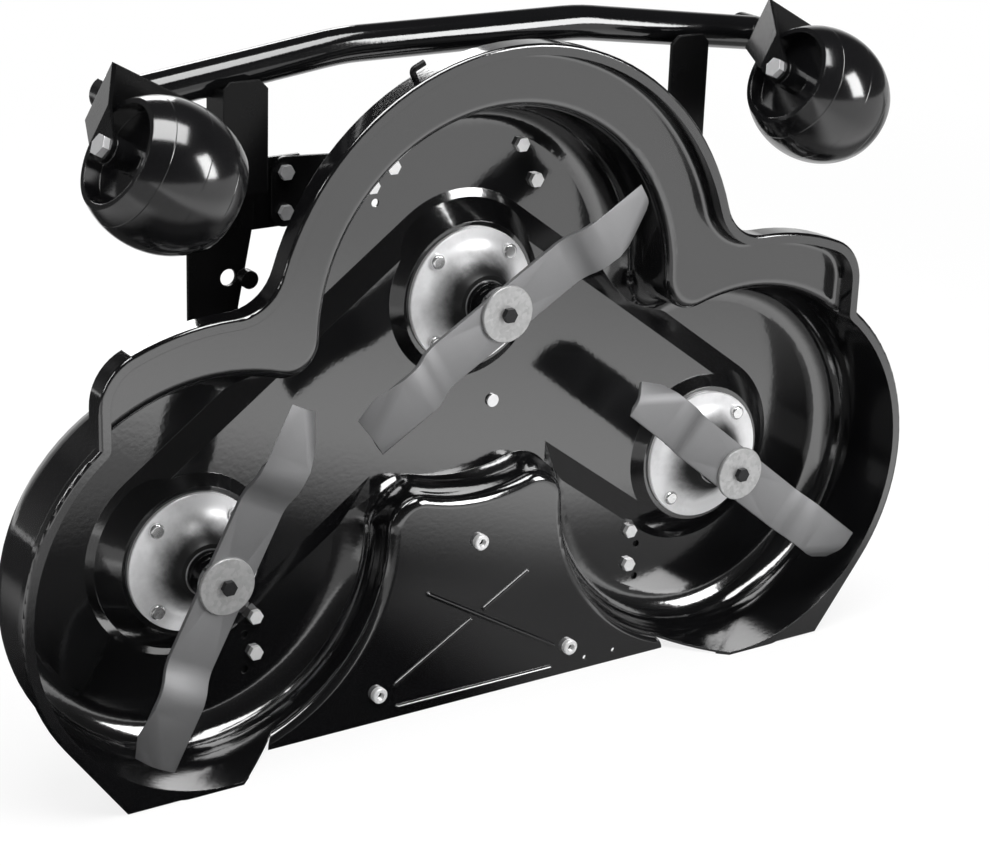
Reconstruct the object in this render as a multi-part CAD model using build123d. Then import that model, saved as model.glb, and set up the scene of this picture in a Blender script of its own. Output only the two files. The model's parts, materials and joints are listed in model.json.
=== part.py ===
"""Three-blade mower deck, standing on its rear edge with the underside facing -Y.

The pieces are drawn with the deck lying on its back: X across the deck, Y towards its front and
Z out of its open underside, so that a depth measured into the deck from the lip is -Z. The finished
pieces are then stood up on the rear edge: X stays, the deck's front points to +Z.
"""
from build123d import *
from math import acos, atan2, cos, radians, sin, sqrt, tan
import os

os.makedirs("parts", exist_ok=True)

# Spindle layout and blades
SPINDLE_HALF = 295.0
CENTRE_FORWARD = 215.0
BLADE_LENGTH = 358.0
BLADE_WIDTH = 48.0
BLADE_THICK = 4.5
BLADE_CRANK_START = 86.0
BLADE_CRANK_RUN = 20.0
BLADE_DROP = 12.8
BLADE_SAIL_START = 130.0
BLADE_SAIL_SIDE = 5.0
BLADE_SAIL_ANGLE = 46.0
BLADE_SAIL_INNER = (23.0, 14.7)
BLADE_SAIL_OUTER = (9.3, 19.1)
BLADE_BEVEL = 9.0
BLADE_EDGE = 1.0
BLADE_ANGLES = {"left": 62.7, "centre": 30.9, "right": 141.2}

# Pressed shell: depths are measured from the lip into the deck
SHEET = 2.5
TIP_CLEARANCE = 15.0
ROOF_DEPTH = 101.0
ROOF_EDGE_R = 34.0
CUSP_R = 34.0
PLATEAU_RISE = 10.5
PLATEAU_HALF = 77.0
RAMP_RUN = 24.0
BOSS_RISE = 8.5
BOSS_R = 73.0
BOSS_FLARE = 11.0
REAR_MARGIN = 3.0
LIP_WIDTH = 8.0
LIP_HEIGHT = 10.0
LIP_ROUND = 3.0
FOOT_REACH = 108.0

# Front apron
APRON_R = 247.5
APRON_CUSP_R = 58.0
APRON_HALF = 413.0
APRON_CORNER_R = 40.0
APRON_LIP_HEIGHT = 22.0
SHELF_DEPTH = 22.0
SHELF_EDGE_R = 7.0
PRESS_EDGE_R = 11.0

# Rear discharge panel with its ribs and nuts
PANEL_DEPTH = 49.5
PANEL_HALF = 234.0
LIP_END_HALF = 286.0
RIB_R = 2.5
RIB_FRONT = (58.0, -72.0)
RIB_REAR = (93.0, -161.0)
RIB_GAP = 9.0
REAR_RIB_HALF = 91.0
REAR_RIB_INSET = 11.0
PANEL_NUT_FRONT = 28.0
PANEL_NUT_HALF = 113.0
PANEL_NUT_REAR = 167.0
PANEL_NUT_R = 8.0
PANEL_NUT_HEIGHT = 6.0
PANEL_NUT_CHAMFER = 1.0
PANEL_THREAD_R = 4.0
DRAIN_HOLE_R = 2.5
DRAIN_HOLES = ((135.0, -185.0), (171.0, -185.0))
ROOF_HOLE_R = 4.0
ROOF_HOLES = ((232.0, -97.0), (232.0, -134.0), (-232.0, -97.0), (-232.0, -134.0), (-95.0, 313.0))

# Spindle housings, bearings and shafts
HOUSING_R = 68.0
HOUSING_FLANGE = 4.4
HOUSING_DOME_R = 46.0
HOUSING_DOME_IN = 4.4
HOUSING_DOME_UP = 20.2
HOUSING_NOSE_R = 28.5
HOUSING_NOSE = 32.6
HOUSING_BODY_R = 32.0
HOUSING_BODY = 41.0
HOUSING_HOLE_GAP = 1.0
HOUSING_BOLTS = 4
HOUSING_BOLT_TURN = 45.0
HOUSING_BOLT_CIRCLE_R = 57.0
BEARING_R = 23.5
BEARING_WIDTH = 14.0
BEARING_INSET = 7.0
BEARING_SHOULDER = 3.5
SHAFT_R = 10.0
SHAFT_SHOULDER_R = 12.5
RUNNING_FIT = 0.05
AXIAL_PLAY = 0.4

# Blade mounting
HUB_FLANGE_R = 24.0
HUB_FLANGE = 6.0
HUB_NECK_R = 17.0
HUB_SHIELD_R = 22.3
HUB_SHIELD = 6.5
HUB_HEIGHT = 30.0
WASHER_R = 27.7
WASHER_THICK = 3.3
WASHER_CHAMFER = 0.8
BLADE_BOLT_DEPTH = 24.0

# Fasteners
M8_R = 4.0
M8_FLATS = 13.0
M8_HEAD = 5.3
M8_NUT = 6.5
PAN_HEAD_R = 7.5
PAN_HEAD_ROUND = 2.5
M10_R = 5.0
M10_FLATS = 17.0
M10_HEAD = 6.4
M10_NUT = 8.0
SHAFT_NUT_FLATS = 27.0
SHAFT_NUT = 10.0
BOLT_HOLE_GAP = 0.2
THREAD_SHOW = 2.0

# Pulleys, belt and idler on the top side
PULLEY_R = 55.0
PULLEY_RIM = 16.0
PULLEY_GROOVE = 11.0
PULLEY_GROOVE_SLOPE = 3.0
PULLEY_WEB = 5.0
PULLEY_HUB_R = 17.0
PULLEY_LIFT = 5.0
BELT_WIDTH = 11.0
BELT_HEIGHT = 8.0
BELT_INSET = 1.0
BELT_PLAY = 0.4
IDLER_R = 28.0
IDLER_PIVOT = (36.0, 100.0)
IDLER_BORE_WALL = 5.0
IDLER_ARM_THICK = 5.0
IDLER_ARM_HALF = 14.0
IDLER_POST_R = 11.0
PIVOT_HEAD_R = 6.5
PIVOT_HEAD = 2.5

# Carrying arms, front tube and brackets
ARM_CENTRE = 229.0
ARM_HALF = 23.0
ARM_WALL = 4.0
ARM_FLANGE = 18.0
ARM_EAR = 38.0
ARM_EAR_LENGTH = 62.0
ARM_PIN_R = 8.0
ARM_PIN_REAR = 30.0
ARM_FRONT = 205.0
ARM_BOLT_REACH = 221.5
ARM_BOLT_ROWS = (-79.5, -117.5)
POST_CENTRE = 244.0
POST_HALF = 22.0
POST_DEPTH = 75.0
POST_REAR = 345.0
POST_CORNER = 8.0
POST_TOP_GAP = 1.0
ARM_PLATE_IN = 221.0
ARM_PLATE_OUT = 287.0
ARM_PLATE_WAIST = 313.0
ARM_PLATE_NECK = (237.0, 232.0)
ARM_PLATE_HOLE = (247.0, 261.0)
ARM_PLATE_HOLE_R = 8.0
ARM_PLATE_FRONT = 360.0
ARM_BOSS = (230.0, 259.0)
ARM_BOSS_R = 8.5
ARM_BOSS_HEIGHT = 10.0
LUG_IN = 172.0
LUG_ROWS = (353.0, 315.5)
LUG_BOLT_REACH = 189.0
BRACKET_BOLTS = {"left": ((78.0, 346.0), (100.0, 330.0)), "right": ((66.0, 352.0), (84.0, 315.0))}
BRACKET_EDGE = 14.0
TUBE_R = 16.85
TUBE_WALL = 2.5
TUBE_DEPTH = 108.0
TUBE_FRONT = 463.0
TUBE_BEND_HALF = 130.0
TUBE_BEND_R = 260.0
WELD_GAP = 0.2

# Castors
CASTOR_HALF = 350.0
CASTOR_FRONT = 434.0
CASTOR_TURN = 29.0
CASTOR_TRAIL = 40.0
SLEEVE_R = 17.0
SLEEVE_LENGTH = 78.0
PIN_R = 9.0
PIN_SHOW = 9.0
CLIP_R = 14.0
CLIP_THICK = 2.0
WHEEL_R = 65.0
WHEEL_END_R = 49.0
WHEEL_HALF = 49.0
WHEEL_RECESS = 16.0
WHEEL_RIM = 5.0
WHEEL_HUB_R = 13.0
WHEEL_SIDE_GAP = 9.0
AXLE_DEPTH = -19.0
FORK_PLATE = 4.0
FORK_SPLAY = 11.0
FORK_STRAIGHT = 24.0
FORK_CLEARANCE = 3.0
FORK_HALF_LENGTH = 26.0
FORK_EYE_R = 12.0
FORK_BEND_R = 6.0
SWIVEL_GAP = 0.6

# Cable hook on the apron
HOOK_ANGLE = 115.0
HOOK_R = 3.0
HOOK_BEND_R = 4.0
HOOK_REACH = 9.0
HOOK_LENGTH = 14.0
HOOK_DEPTH = 13.0

# Overshoot of cutting tools, and how near two lengths count as the same
OVER = 5.0
SAME = 0.01

# Values worked out from the sizes above
CHAMBER_R = BLADE_LENGTH / 2 + TIP_CLEARANCE
REAR = -(CHAMBER_R + REAR_MARGIN)
PLATEAU_DEPTH = ROOF_DEPTH - PLATEAU_RISE
BOSS_DEPTH = PLATEAU_DEPTH - BOSS_RISE
ROOF_TOP = ROOF_DEPTH + SHEET
BOSS_TOP = BOSS_DEPTH + SHEET
FLANGE_FACE = BOSS_DEPTH - HOUSING_FLANGE
NOSE_DEPTH = FLANGE_FACE - HOUSING_NOSE
HOUSING_TOP = BOSS_DEPTH + HOUSING_BODY
LOWER_BEARING = NOSE_DEPTH + BEARING_INSET
UPPER_BEARING = HOUSING_TOP - BEARING_WIDTH
HUB_TOP = LOWER_BEARING - AXIAL_PLAY
HUB_BOTTOM = HUB_TOP - HUB_HEIGHT
BLADE_FACE = HUB_BOTTOM - BLADE_THICK
WASHER_FACE = BLADE_FACE - WASHER_THICK
PULLEY_BOTTOM = HOUSING_TOP + PULLEY_LIFT
BELT_MID = PULLEY_BOTTOM + PULLEY_RIM / 2
BELT_OUTER_R = PULLEY_R - BELT_INSET
BELT_INNER_R = BELT_OUTER_R - BELT_HEIGHT
ARM_TOP = ROOF_TOP + ARM_WALL
CROWN_DEPTH = AXLE_DEPTH + WHEEL_R + FORK_CLEARANCE
SLEEVE_BOTTOM = CROWN_DEPTH + FORK_PLATE + SWIVEL_GAP
SLEEVE_TOP = SLEEVE_BOTTOM + SLEEVE_LENGTH
FORK_INNER = WHEEL_HALF + WHEEL_SIDE_GAP
FORK_OUTER = FORK_INNER + FORK_PLATE
CENTRE_TOP = PULLEY_BOTTOM + 2 * PULLEY_RIM + SHAFT_NUT + THREAD_SHOW
NEAREST = AXLE_DEPTH - WHEEL_R
MIDDLE_DEPTH = (NEAREST + CENTRE_TOP) / 2

SIDES = {"left": -1, "right": 1}
SPINDLES = {
    "left": Vector(-SPINDLE_HALF, 0),
    "centre": Vector(0, CENTRE_FORWARD),
    "right": Vector(SPINDLE_HALF, 0),
}
ARM_AXIS = SPINDLES["right"] - SPINDLES["centre"]
ARM_ALONG = ARM_AXIS.normalized()
ARM_NORMAL = Vector(-ARM_ALONG.Y, ARM_ALONG.X)
ARM_MID = (SPINDLES["right"] + SPINDLES["centre"]) / 2


def stand(shape):
    """The finished piece, stood on the deck's rear edge about the middle of the model."""
    return Pos(0, -MIDDLE_DEPTH, -REAR) * Rot(90, 0, 0) * shape


def save(name, shape):
    """Writes one piece."""
    export_step(stand(shape), f"parts/{name}.step")


def mirrored(point):
    """A plan point on the other side of the deck."""
    return Vector(-point.X, point.Y)


def towards(start, goal, length):
    """The plan point at a length from start in the direction of goal."""
    return start + (goal - start).normalized() * length


def cylinder(radius, bottom, top, at=(0, 0)):
    """A rod along the depth, from one depth to another."""
    height = top - bottom
    return Pos(at[0], at[1], -(bottom + top) / 2) * Cylinder(radius, height)


def hexagon(flats, bottom, top, at=(0, 0)):
    """A hexagon bar along the depth."""
    face = RegularPolygon(flats / 2, 6, major_radius=False)
    return Pos(at[0], at[1], -top) * extrude(face, amount=top - bottom)


def block(x0, x1, y0, y1, bottom, top):
    """A box between plan limits and depths."""
    middle = Pos((x0 + x1) / 2, (y0 + y1) / 2, -(bottom + top) / 2)
    return middle * Box(x1 - x0, y1 - y0, top - bottom)


def rearwards(start):
    """A cross-section plane at a place along the deck, seen from its front: X across and Z out."""
    return Plane((0, start, 0), x_dir=(1, 0, 0), z_dir=(0, -1, 0))


def turned(points):
    """A turned piece from its half section: radius and depth pairs."""
    section = make_face(Polyline(*[(radius, 0, -depth) for radius, depth in points], close=True))
    return revolve(section, Axis.Z)


def blend_centre(reach, sign):
    """Centre of the arc that blends the centre and right lobes, in front of or behind their line."""
    half = ARM_AXIS.length / 2
    return ARM_MID + ARM_NORMAL * (sign * sqrt(reach**2 - half**2))


def lobe_face(grow):
    """Plan of the three blade chambers, their meeting corners blended, grown outwards."""
    centre = SPINDLES["centre"]
    right = SPINDLES["right"]
    radius = CHAMBER_R + grow
    blend = CUSP_R - grow
    front = blend_centre(CHAMBER_R + CUSP_R, 1)
    rear = blend_centre(CHAMBER_R + CUSP_R, -1)
    front_in = towards(centre, front, radius)
    front_out = towards(right, front, radius)
    rear_out = towards(right, rear, radius)
    rear_in = towards(centre, rear, radius)
    front_mid = front - ARM_NORMAL * blend
    rear_mid = rear + ARM_NORMAL * blend
    side_mid = right + ARM_ALONG * radius
    edges = [
        ThreePointArc(front_in, centre + Vector(0, radius), mirrored(front_in)),
        ThreePointArc(mirrored(front_in), mirrored(front_mid), mirrored(front_out)),
        ThreePointArc(mirrored(front_out), mirrored(side_mid), mirrored(rear_out)),
        ThreePointArc(mirrored(rear_out), mirrored(rear_mid), mirrored(rear_in)),
        ThreePointArc(mirrored(rear_in), centre - Vector(0, radius), rear_in),
        ThreePointArc(rear_in, rear_mid, rear_out),
        ThreePointArc(rear_out, side_mid, front_out),
        ThreePointArc(front_out, front_mid, front_in),
    ]
    return make_face(edges)


def apron_face(grow):
    """Plan of the front apron, from the line between the spindles to its rim, grown outwards."""
    centre = SPINDLES["centre"]
    right = SPINDLES["right"]
    radius = APRON_R + grow
    corner_radius = APRON_CORNER_R + grow
    front = blend_centre(APRON_R + APRON_CUSP_R, 1)
    front_mid = front - ARM_NORMAL * (APRON_CUSP_R - grow)
    inner = towards(centre, front, radius)
    outer = towards(right, front, radius)
    corner_x = APRON_HALF - APRON_CORNER_R
    corner_y = sqrt((APRON_R - APRON_CORNER_R) ** 2 - (corner_x - SPINDLE_HALF) ** 2)
    corner = Vector(corner_x, corner_y)
    arc_end = towards(right, corner, radius)
    line_end = corner + Vector(corner_radius, 0)
    corner_mid = corner + ((corner - right).normalized() + Vector(1, 0)).normalized() * corner_radius
    side_mid = right + ((arc_end - right) + (outer - right)).normalized() * radius
    back = Vector(APRON_HALF + grow, CENTRE_FORWARD / 2)
    edges = [
        Line(back, line_end),
        ThreePointArc(line_end, corner_mid, arc_end),
        ThreePointArc(arc_end, side_mid, outer),
        ThreePointArc(outer, front_mid, inner),
        ThreePointArc(inner, centre + Vector(0, radius), mirrored(inner)),
        ThreePointArc(mirrored(inner), mirrored(front_mid), mirrored(outer)),
        ThreePointArc(mirrored(outer), mirrored(side_mid), mirrored(arc_end)),
        ThreePointArc(mirrored(arc_end), mirrored(corner_mid), mirrored(line_end)),
        Line(mirrored(line_end), mirrored(back)),
        Line(mirrored(back), back),
    ]
    return make_face(edges)


def panel_half(depth):
    """Half width of the rear opening at a depth: it flares towards the lip."""
    return LIP_END_HALF + (PANEL_HALF - LIP_END_HALF) * depth / PANEL_DEPTH


def plateau(grow):
    """Raised middle of the roof, between the three spindle seats, with sloped sides."""
    low = PLATEAU_DEPTH + grow
    deep = ROOF_DEPTH + grow + OVER
    wide = PLATEAU_HALF + RAMP_RUN * (deep - low) / PLATEAU_RISE
    section = Polygon((-PLATEAU_HALF, -low), (PLATEAU_HALF, -low), (wide, -deep), (-wide, -deep), align=None)
    across = Plane(SPINDLES["centre"], x_dir=ARM_NORMAL, z_dir=ARM_ALONG)
    arm = extrude(across * section, amount=ARM_AXIS.length, dir=ARM_ALONG)
    solid = arm + mirror(arm, Plane.YZ)
    for spot in SPINDLES.values():
        solid += Pos(spot.X, spot.Y, -(low + deep) / 2) * Cone(wide, PLATEAU_HALF, deep - low)
    inner = (ARM_MID - ARM_NORMAL * PLATEAU_HALF).X
    spread = inner + wide - PLATEAU_HALF
    middle = Polygon((-inner, -low), (inner, -low), (spread, -deep), (-spread, -deep), align=None)
    solid += extrude(rearwards(CENTRE_FORWARD) * middle, amount=CENTRE_FORWARD + CUSP_R, dir=(0, -1, 0))
    return solid


def seat(grow):
    """Round raised seat of one spindle housing."""
    low = BOSS_DEPTH + grow
    deep = ROOF_DEPTH + grow + OVER
    wide = BOSS_R + BOSS_FLARE * (deep - low) / BOSS_RISE
    return Pos(0, 0, -(low + deep) / 2) * Cone(wide, BOSS_R, deep - low)


def pressing(grow, over):
    """Volume under one face of the sheet: the underside for no growth, the top for the sheet's own."""
    lobes = extrude(Pos(0, 0, over) * lobe_face(grow), amount=-(over + ROOF_DEPTH + grow))
    lobes = fillet(lobes.edges().group_by(Axis.Z)[0], ROOF_EDGE_R + grow)
    apron = extrude(Pos(0, 0, over) * apron_face(grow), amount=-(over + SHELF_DEPTH + grow))
    rim = [e for e in apron.edges().group_by(Axis.Z)[0] if abs(e.center().Y - CENTRE_FORWARD / 2) > OVER]
    apron = fillet(rim, SHELF_EDGE_R + grow)
    half_lip = panel_half(-over)
    half_deep = panel_half(PANEL_DEPTH + grow)
    opening = Polygon(
        (-half_lip, over),
        (half_lip, over),
        (half_deep, -(PANEL_DEPTH + grow)),
        (-half_deep, -(PANEL_DEPTH + grow)),
        align=None,
    )
    panel_length = CENTRE_FORWARD / 2 - REAR + OVER
    panel = extrude(rearwards(CENTRE_FORWARD / 2) * opening, amount=panel_length, dir=(0, -1, 0))
    body = lobes + apron + panel
    edge_radii = (CHAMBER_R + grow, CUSP_R - grow)
    bends = []
    for depth in (SHELF_DEPTH + grow, PANEL_DEPTH + grow):
        level = body.edges().filter_by_position(Axis.Z, -depth - SAME, -depth + SAME)
        for edge in level.filter_by(GeomType.CIRCLE):
            if min(abs(edge.radius - radius) for radius in edge_radii) < SAME:
                bends.append(edge)
    body = fillet(bends, PRESS_EDGE_R - grow)
    body -= plateau(grow)
    for spot in SPINDLES.values():
        body -= Pos(spot.X, spot.Y) * seat(grow)
    return body


def lip():
    """Rolled rim round the skirt, with the flat feet at the rear corners."""
    radius = CHAMBER_R + SHEET + LIP_WIDTH
    right = SPINDLES["right"]
    foot = Vector(SPINDLE_HALF + FOOT_REACH, REAR)
    turn = atan2(foot.Y, FOOT_REACH) + acos(radius / (foot - right).length)
    touch = right + Vector(cos(turn), sin(turn)) * radius
    corner = make_face(Polyline(right, touch, foot, Vector(SPINDLE_HALF, REAR), close=True))
    rim = Pos(SPINDLE_HALF, 0) * Circle(radius)
    pocket = offset(corner, amount=-SHEET, kind=Kind.INTERSECTION) - rim
    face = rim + corner
    apron = apron_face(SHEET + LIP_WIDTH)
    solid = extrude(face + mirror(face, Plane.YZ) + apron, amount=-LIP_HEIGHT)
    solid = fillet(solid.edges().group_by(Axis.Z)[-1], LIP_ROUND)
    solid += extrude(Pos(0, 0, -LIP_HEIGHT) * apron, amount=LIP_HEIGHT - APRON_LIP_HEIGHT)
    hollow = extrude(Pos(0, 0, -SHEET) * pocket, amount=-LIP_HEIGHT)
    channel = apron_face(LIP_WIDTH) - apron_face(-SHELF_EDGE_R) - rim - mirror(rim, Plane.YZ)
    groove = extrude(Pos(0, 0, -SHEET) * channel, amount=-APRON_LIP_HEIGHT)
    return solid - hollow - mirror(hollow, Plane.YZ) - groove


def capsule(start, end, depth):
    """A round-ended rib between two plan points."""
    a = Vector(start.X, start.Y, -depth)
    b = Vector(end.X, end.Y, -depth)
    rod = extrude(Plane(a, z_dir=b - a) * Circle(RIB_R), amount=(b - a).length)
    return rod + Pos(a) * Sphere(RIB_R) + Pos(b) * Sphere(RIB_R)


def panel_ribs():
    """Crossed stiffening ribs of the rear panel and the one along its edge."""
    depth = PANEL_DEPTH + SHEET - RIB_R - WELD_GAP
    front = Vector(*RIB_FRONT)
    rear = Vector(*RIB_REAR)
    share = front.X / (front.X + rear.X)
    crossing = mirrored(front) + (rear - mirrored(front)) * share
    ribs = [capsule(mirrored(front), rear, depth)]
    ribs.append(capsule(mirrored(rear), towards(crossing, mirrored(rear), RIB_GAP), depth))
    ribs.append(capsule(towards(crossing, front, RIB_GAP), front, depth))
    edge = Vector(REAR_RIB_HALF, REAR + REAR_RIB_INSET)
    ribs.append(capsule(mirrored(edge), edge, depth))
    return ribs


def panel_nut_spots():
    """Places of the three threaded inserts of the rear panel."""
    return (0, -PANEL_NUT_FRONT), (-PANEL_NUT_HALF, -PANEL_NUT_REAR), (PANEL_NUT_HALF, -PANEL_NUT_REAR)


def housing_bolt_steps():
    """Places of the bolts of a spindle housing, from its axis."""
    steps = []
    for place in range(HOUSING_BOLTS):
        turn = radians(HOUSING_BOLT_TURN + 360 / HOUSING_BOLTS * place)
        steps.append(Vector(cos(turn), sin(turn)) * HOUSING_BOLT_CIRCLE_R)
    return steps


def housing_bolt_spots():
    """Places of the bolts of all three spindle housings."""
    spots = [spindle + step for spindle in SPINDLES.values() for step in housing_bolt_steps()]
    return [(spot.X, spot.Y) for spot in spots]


def roof_bolt_spots():
    """Places of the bolts through the roof: two for each arm and two for each bracket."""
    spots = []
    for name, side in SIDES.items():
        spots += [(side * ARM_BOLT_REACH, row) for row in ARM_BOLT_ROWS]
        spots += [(side * x, y) for x, y in BRACKET_BOLTS[name]]
    return spots


def lug_bolt_spots():
    """Places of the bolts between the arms' lugs and the brackets."""
    return [(side * LUG_BOLT_REACH, row) for side in SIDES.values() for row in LUG_ROWS]


def deck_shell():
    """The pressed steel shell with its rim, ribs and holes."""
    shell = pressing(SHEET, 0.0) + lip() - pressing(0.0, OVER)
    wide = 2 * SPINDLE_HALF + APRON_R
    shell -= block(-wide, wide, REAR - wide, REAR, -OVER, ROOF_TOP + OVER)
    for rib in panel_ribs():
        shell += rib
    body_hole = HOUSING_BODY_R + HOUSING_HOLE_GAP
    holes = [cylinder(body_hole, 0, ROOF_TOP, (spot.X, spot.Y)) for spot in SPINDLES.values()]
    for spot in housing_bolt_spots() + roof_bolt_spots() + [IDLER_PIVOT]:
        radius = M10_R if spot == IDLER_PIVOT else M8_R
        holes.append(cylinder(radius + BOLT_HOLE_GAP, BOSS_DEPTH - OVER, ROOF_TOP + OVER, spot))
    for spot in panel_nut_spots():
        holes.append(cylinder(PANEL_THREAD_R, PANEL_DEPTH - OVER, PANEL_DEPTH + OVER, spot))
    for spot in DRAIN_HOLES:
        holes.append(cylinder(DRAIN_HOLE_R, PANEL_DEPTH - OVER, PANEL_DEPTH + OVER, spot))
    for spot in ROOF_HOLES:
        holes.append(cylinder(ROOF_HOLE_R, ROOF_DEPTH - OVER, ROOF_TOP + OVER, spot))
    return shell - holes


def panel_nuts():
    """Round threaded inserts welded to the underside of the rear panel."""
    nuts = []
    for spot in panel_nut_spots():
        body = cylinder(PANEL_NUT_R, PANEL_DEPTH - PANEL_NUT_HEIGHT, PANEL_DEPTH, spot)
        body = chamfer(body.edges().group_by(Axis.Z)[-1], PANEL_NUT_CHAMFER)
        nuts.append(body - cylinder(PANEL_THREAD_R, 0, PANEL_DEPTH + OVER, spot))
    return Compound(children=nuts)


def housing():
    """Flanged spindle housing: a domed nose below the seat and a straight body above it."""
    inside = BEARING_R - BEARING_SHOULDER
    lower_step = LOWER_BEARING + BEARING_WIDTH
    dome = ThreePointArc(
        (HOUSING_DOME_R, 0, -FLANGE_FACE),
        (HOUSING_DOME_R - HOUSING_DOME_IN, 0, -(FLANGE_FACE - HOUSING_DOME_UP)),
        (HOUSING_NOSE_R, 0, -NOSE_DEPTH),
    )
    rest = Polyline(
        (HOUSING_NOSE_R, 0, -NOSE_DEPTH),
        (BEARING_R, 0, -NOSE_DEPTH),
        (BEARING_R, 0, -lower_step),
        (inside, 0, -lower_step),
        (inside, 0, -UPPER_BEARING),
        (BEARING_R, 0, -UPPER_BEARING),
        (BEARING_R, 0, -HOUSING_TOP),
        (HOUSING_BODY_R, 0, -HOUSING_TOP),
        (HOUSING_BODY_R, 0, -BOSS_DEPTH),
        (HOUSING_R, 0, -BOSS_DEPTH),
        (HOUSING_R, 0, -FLANGE_FACE),
        (HOUSING_DOME_R, 0, -FLANGE_FACE),
    )
    solid = revolve(make_face([dome, *rest.edges()]), Axis.Z)
    for step in housing_bolt_steps():
        solid -= cylinder(M8_R + BOLT_HOLE_GAP, FLANGE_FACE - OVER, BOSS_DEPTH + OVER, (step.X, step.Y))
    return solid


def bearings():
    """Upper and lower ball bearing of one spindle."""
    rings = []
    for low in (LOWER_BEARING, UPPER_BEARING):
        bore = SHAFT_R + RUNNING_FIT
        rings.append(cylinder(BEARING_R, low, low + BEARING_WIDTH) - cylinder(bore, low, low + BEARING_WIDTH))
    return Compound(children=rings)


def spindle_shaft(grooves):
    """Turned spindle shaft, its shoulder between the bearings, its lower end drilled for the blade bolt."""
    top = PULLEY_BOTTOM + grooves * PULLEY_RIM + SHAFT_NUT + THREAD_SHOW
    low_step = LOWER_BEARING + BEARING_WIDTH + AXIAL_PLAY
    high_step = UPPER_BEARING - AXIAL_PLAY
    drilled = HUB_BOTTOM + BLADE_BOLT_DEPTH
    return turned([
        (M8_R, HUB_BOTTOM),
        (SHAFT_R, HUB_BOTTOM),
        (SHAFT_R, low_step),
        (SHAFT_SHOULDER_R, low_step),
        (SHAFT_SHOULDER_R, high_step),
        (SHAFT_R, high_step),
        (SHAFT_R, top),
        (0, top),
        (0, drilled),
        (M8_R, drilled),
    ])


def blade_hub():
    """Hub between the spindle's nose and the blade, with its two collars."""
    shield = HUB_TOP - HUB_SHIELD
    flange = HUB_BOTTOM + HUB_FLANGE
    return turned([
        (SHAFT_R, HUB_BOTTOM),
        (HUB_FLANGE_R, HUB_BOTTOM),
        (HUB_FLANGE_R, flange),
        (HUB_NECK_R, flange),
        (HUB_NECK_R, shield),
        (HUB_SHIELD_R, shield),
        (HUB_SHIELD_R, HUB_TOP),
        (SHAFT_R, HUB_TOP),
    ])


def blade_strip(tip):
    """Half of a blade's strip, cranked out towards the ground and cut off straight at its tip."""
    thin = BLADE_THICK / 2
    level = -(BLADE_FACE + thin)
    wing = level + BLADE_DROP
    crank_end = BLADE_CRANK_START + BLADE_CRANK_RUN
    mitre = thin * tan(atan2(BLADE_DROP, BLADE_CRANK_RUN) / 2)
    profile = Polygon(
        (0, level - thin),
        (BLADE_CRANK_START + mitre, level - thin),
        (crank_end + mitre, wing - thin),
        (tip, wing - thin),
        (tip, wing + thin),
        (crank_end - mitre, wing + thin),
        (BLADE_CRANK_START - mitre, level + thin),
        (0, level + thin),
        align=None,
    )
    return extrude(Plane.XZ * profile, amount=BLADE_WIDTH / 2, both=True)


def blade_half():
    """Half of a blade: the cranked strip with a ground edge, its rear corner folded up into a sail."""
    thin = BLADE_THICK / 2
    edge = BLADE_WIDTH / 2
    tip = sqrt((BLADE_LENGTH / 2) ** 2 - edge**2)
    wing = BLADE_DROP - (BLADE_FACE + thin)
    rise = radians(BLADE_SAIL_ANGLE)
    mitre = thin * tan(rise / 2)
    start = Vector(BLADE_SAIL_START, -edge)
    end = Vector(tip, BLADE_SAIL_SIDE)
    along = (end - start).normalized()
    across = Vector(along.Y, -along.X)
    past_start = start + across * mitre - along * BLADE_WIDTH
    past_end = end + across * mitre + along * BLADE_WIDTH
    beyond = across * BLADE_WIDTH
    corner = make_face(Polyline(past_start, past_end, past_end + beyond, past_start + beyond, close=True))
    strip = blade_strip(tip) - extrude(Pos(0, 0, wing) * corner, amount=BLADE_THICK, both=True)
    sail_up = across * cos(rise) + Vector(0, 0, -sin(rise))
    fold = Plane(start + Vector(0, 0, wing), x_dir=along, z_dir=along.cross(sail_up))
    length = (end - start).length
    sail = Polygon(
        (0, -mitre),
        (length, -mitre),
        (length - BLADE_SAIL_OUTER[0], BLADE_SAIL_OUTER[1]),
        BLADE_SAIL_INNER,
        align=None,
    )
    slope = (BLADE_THICK - BLADE_EDGE) / BLADE_BEVEL
    inner = edge - BLADE_BEVEL - OVER
    low = wing - thin - OVER * slope
    outer = edge + OVER
    ground = Polygon((inner, low), (outer, low), (outer, low + (outer - inner) * slope), align=None)
    grind_at = Plane((BLADE_CRANK_START + 2 * BLADE_CRANK_RUN, 0, 0), x_dir=(0, 1, 0), z_dir=(1, 0, 0))
    folded = strip + extrude(fold * sail, amount=thin, both=True)
    return folded - extrude(grind_at * ground, amount=BLADE_LENGTH)


def blade():
    """Cutting blade, both halves about its bolt hole."""
    half = blade_half()
    return half + Rot(0, 0, 180) * half - cylinder(M8_R + BOLT_HOLE_GAP, 0, ROOF_DEPTH)


def blade_washer():
    """Thick washer under the blade bolt."""
    ring = cylinder(WASHER_R, WASHER_FACE, BLADE_FACE)
    ring = chamfer(ring.edges().group_by(Axis.Z)[-1], WASHER_CHAMFER)
    return ring - cylinder(M8_R + BOLT_HOLE_GAP, 0, ROOF_DEPTH)


def hex_bolt(radius, flats, head, grip):
    """Hexagon bolt along the depth, the bearing face of its head at depth nought."""
    return hexagon(flats, -head, 0) + cylinder(radius, 0, grip)


def hex_nut(radius, flats, height):
    """Hexagon nut along the depth, its seat at depth nought."""
    return hexagon(flats, 0, height) - cylinder(radius, -OVER, height + OVER)


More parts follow.
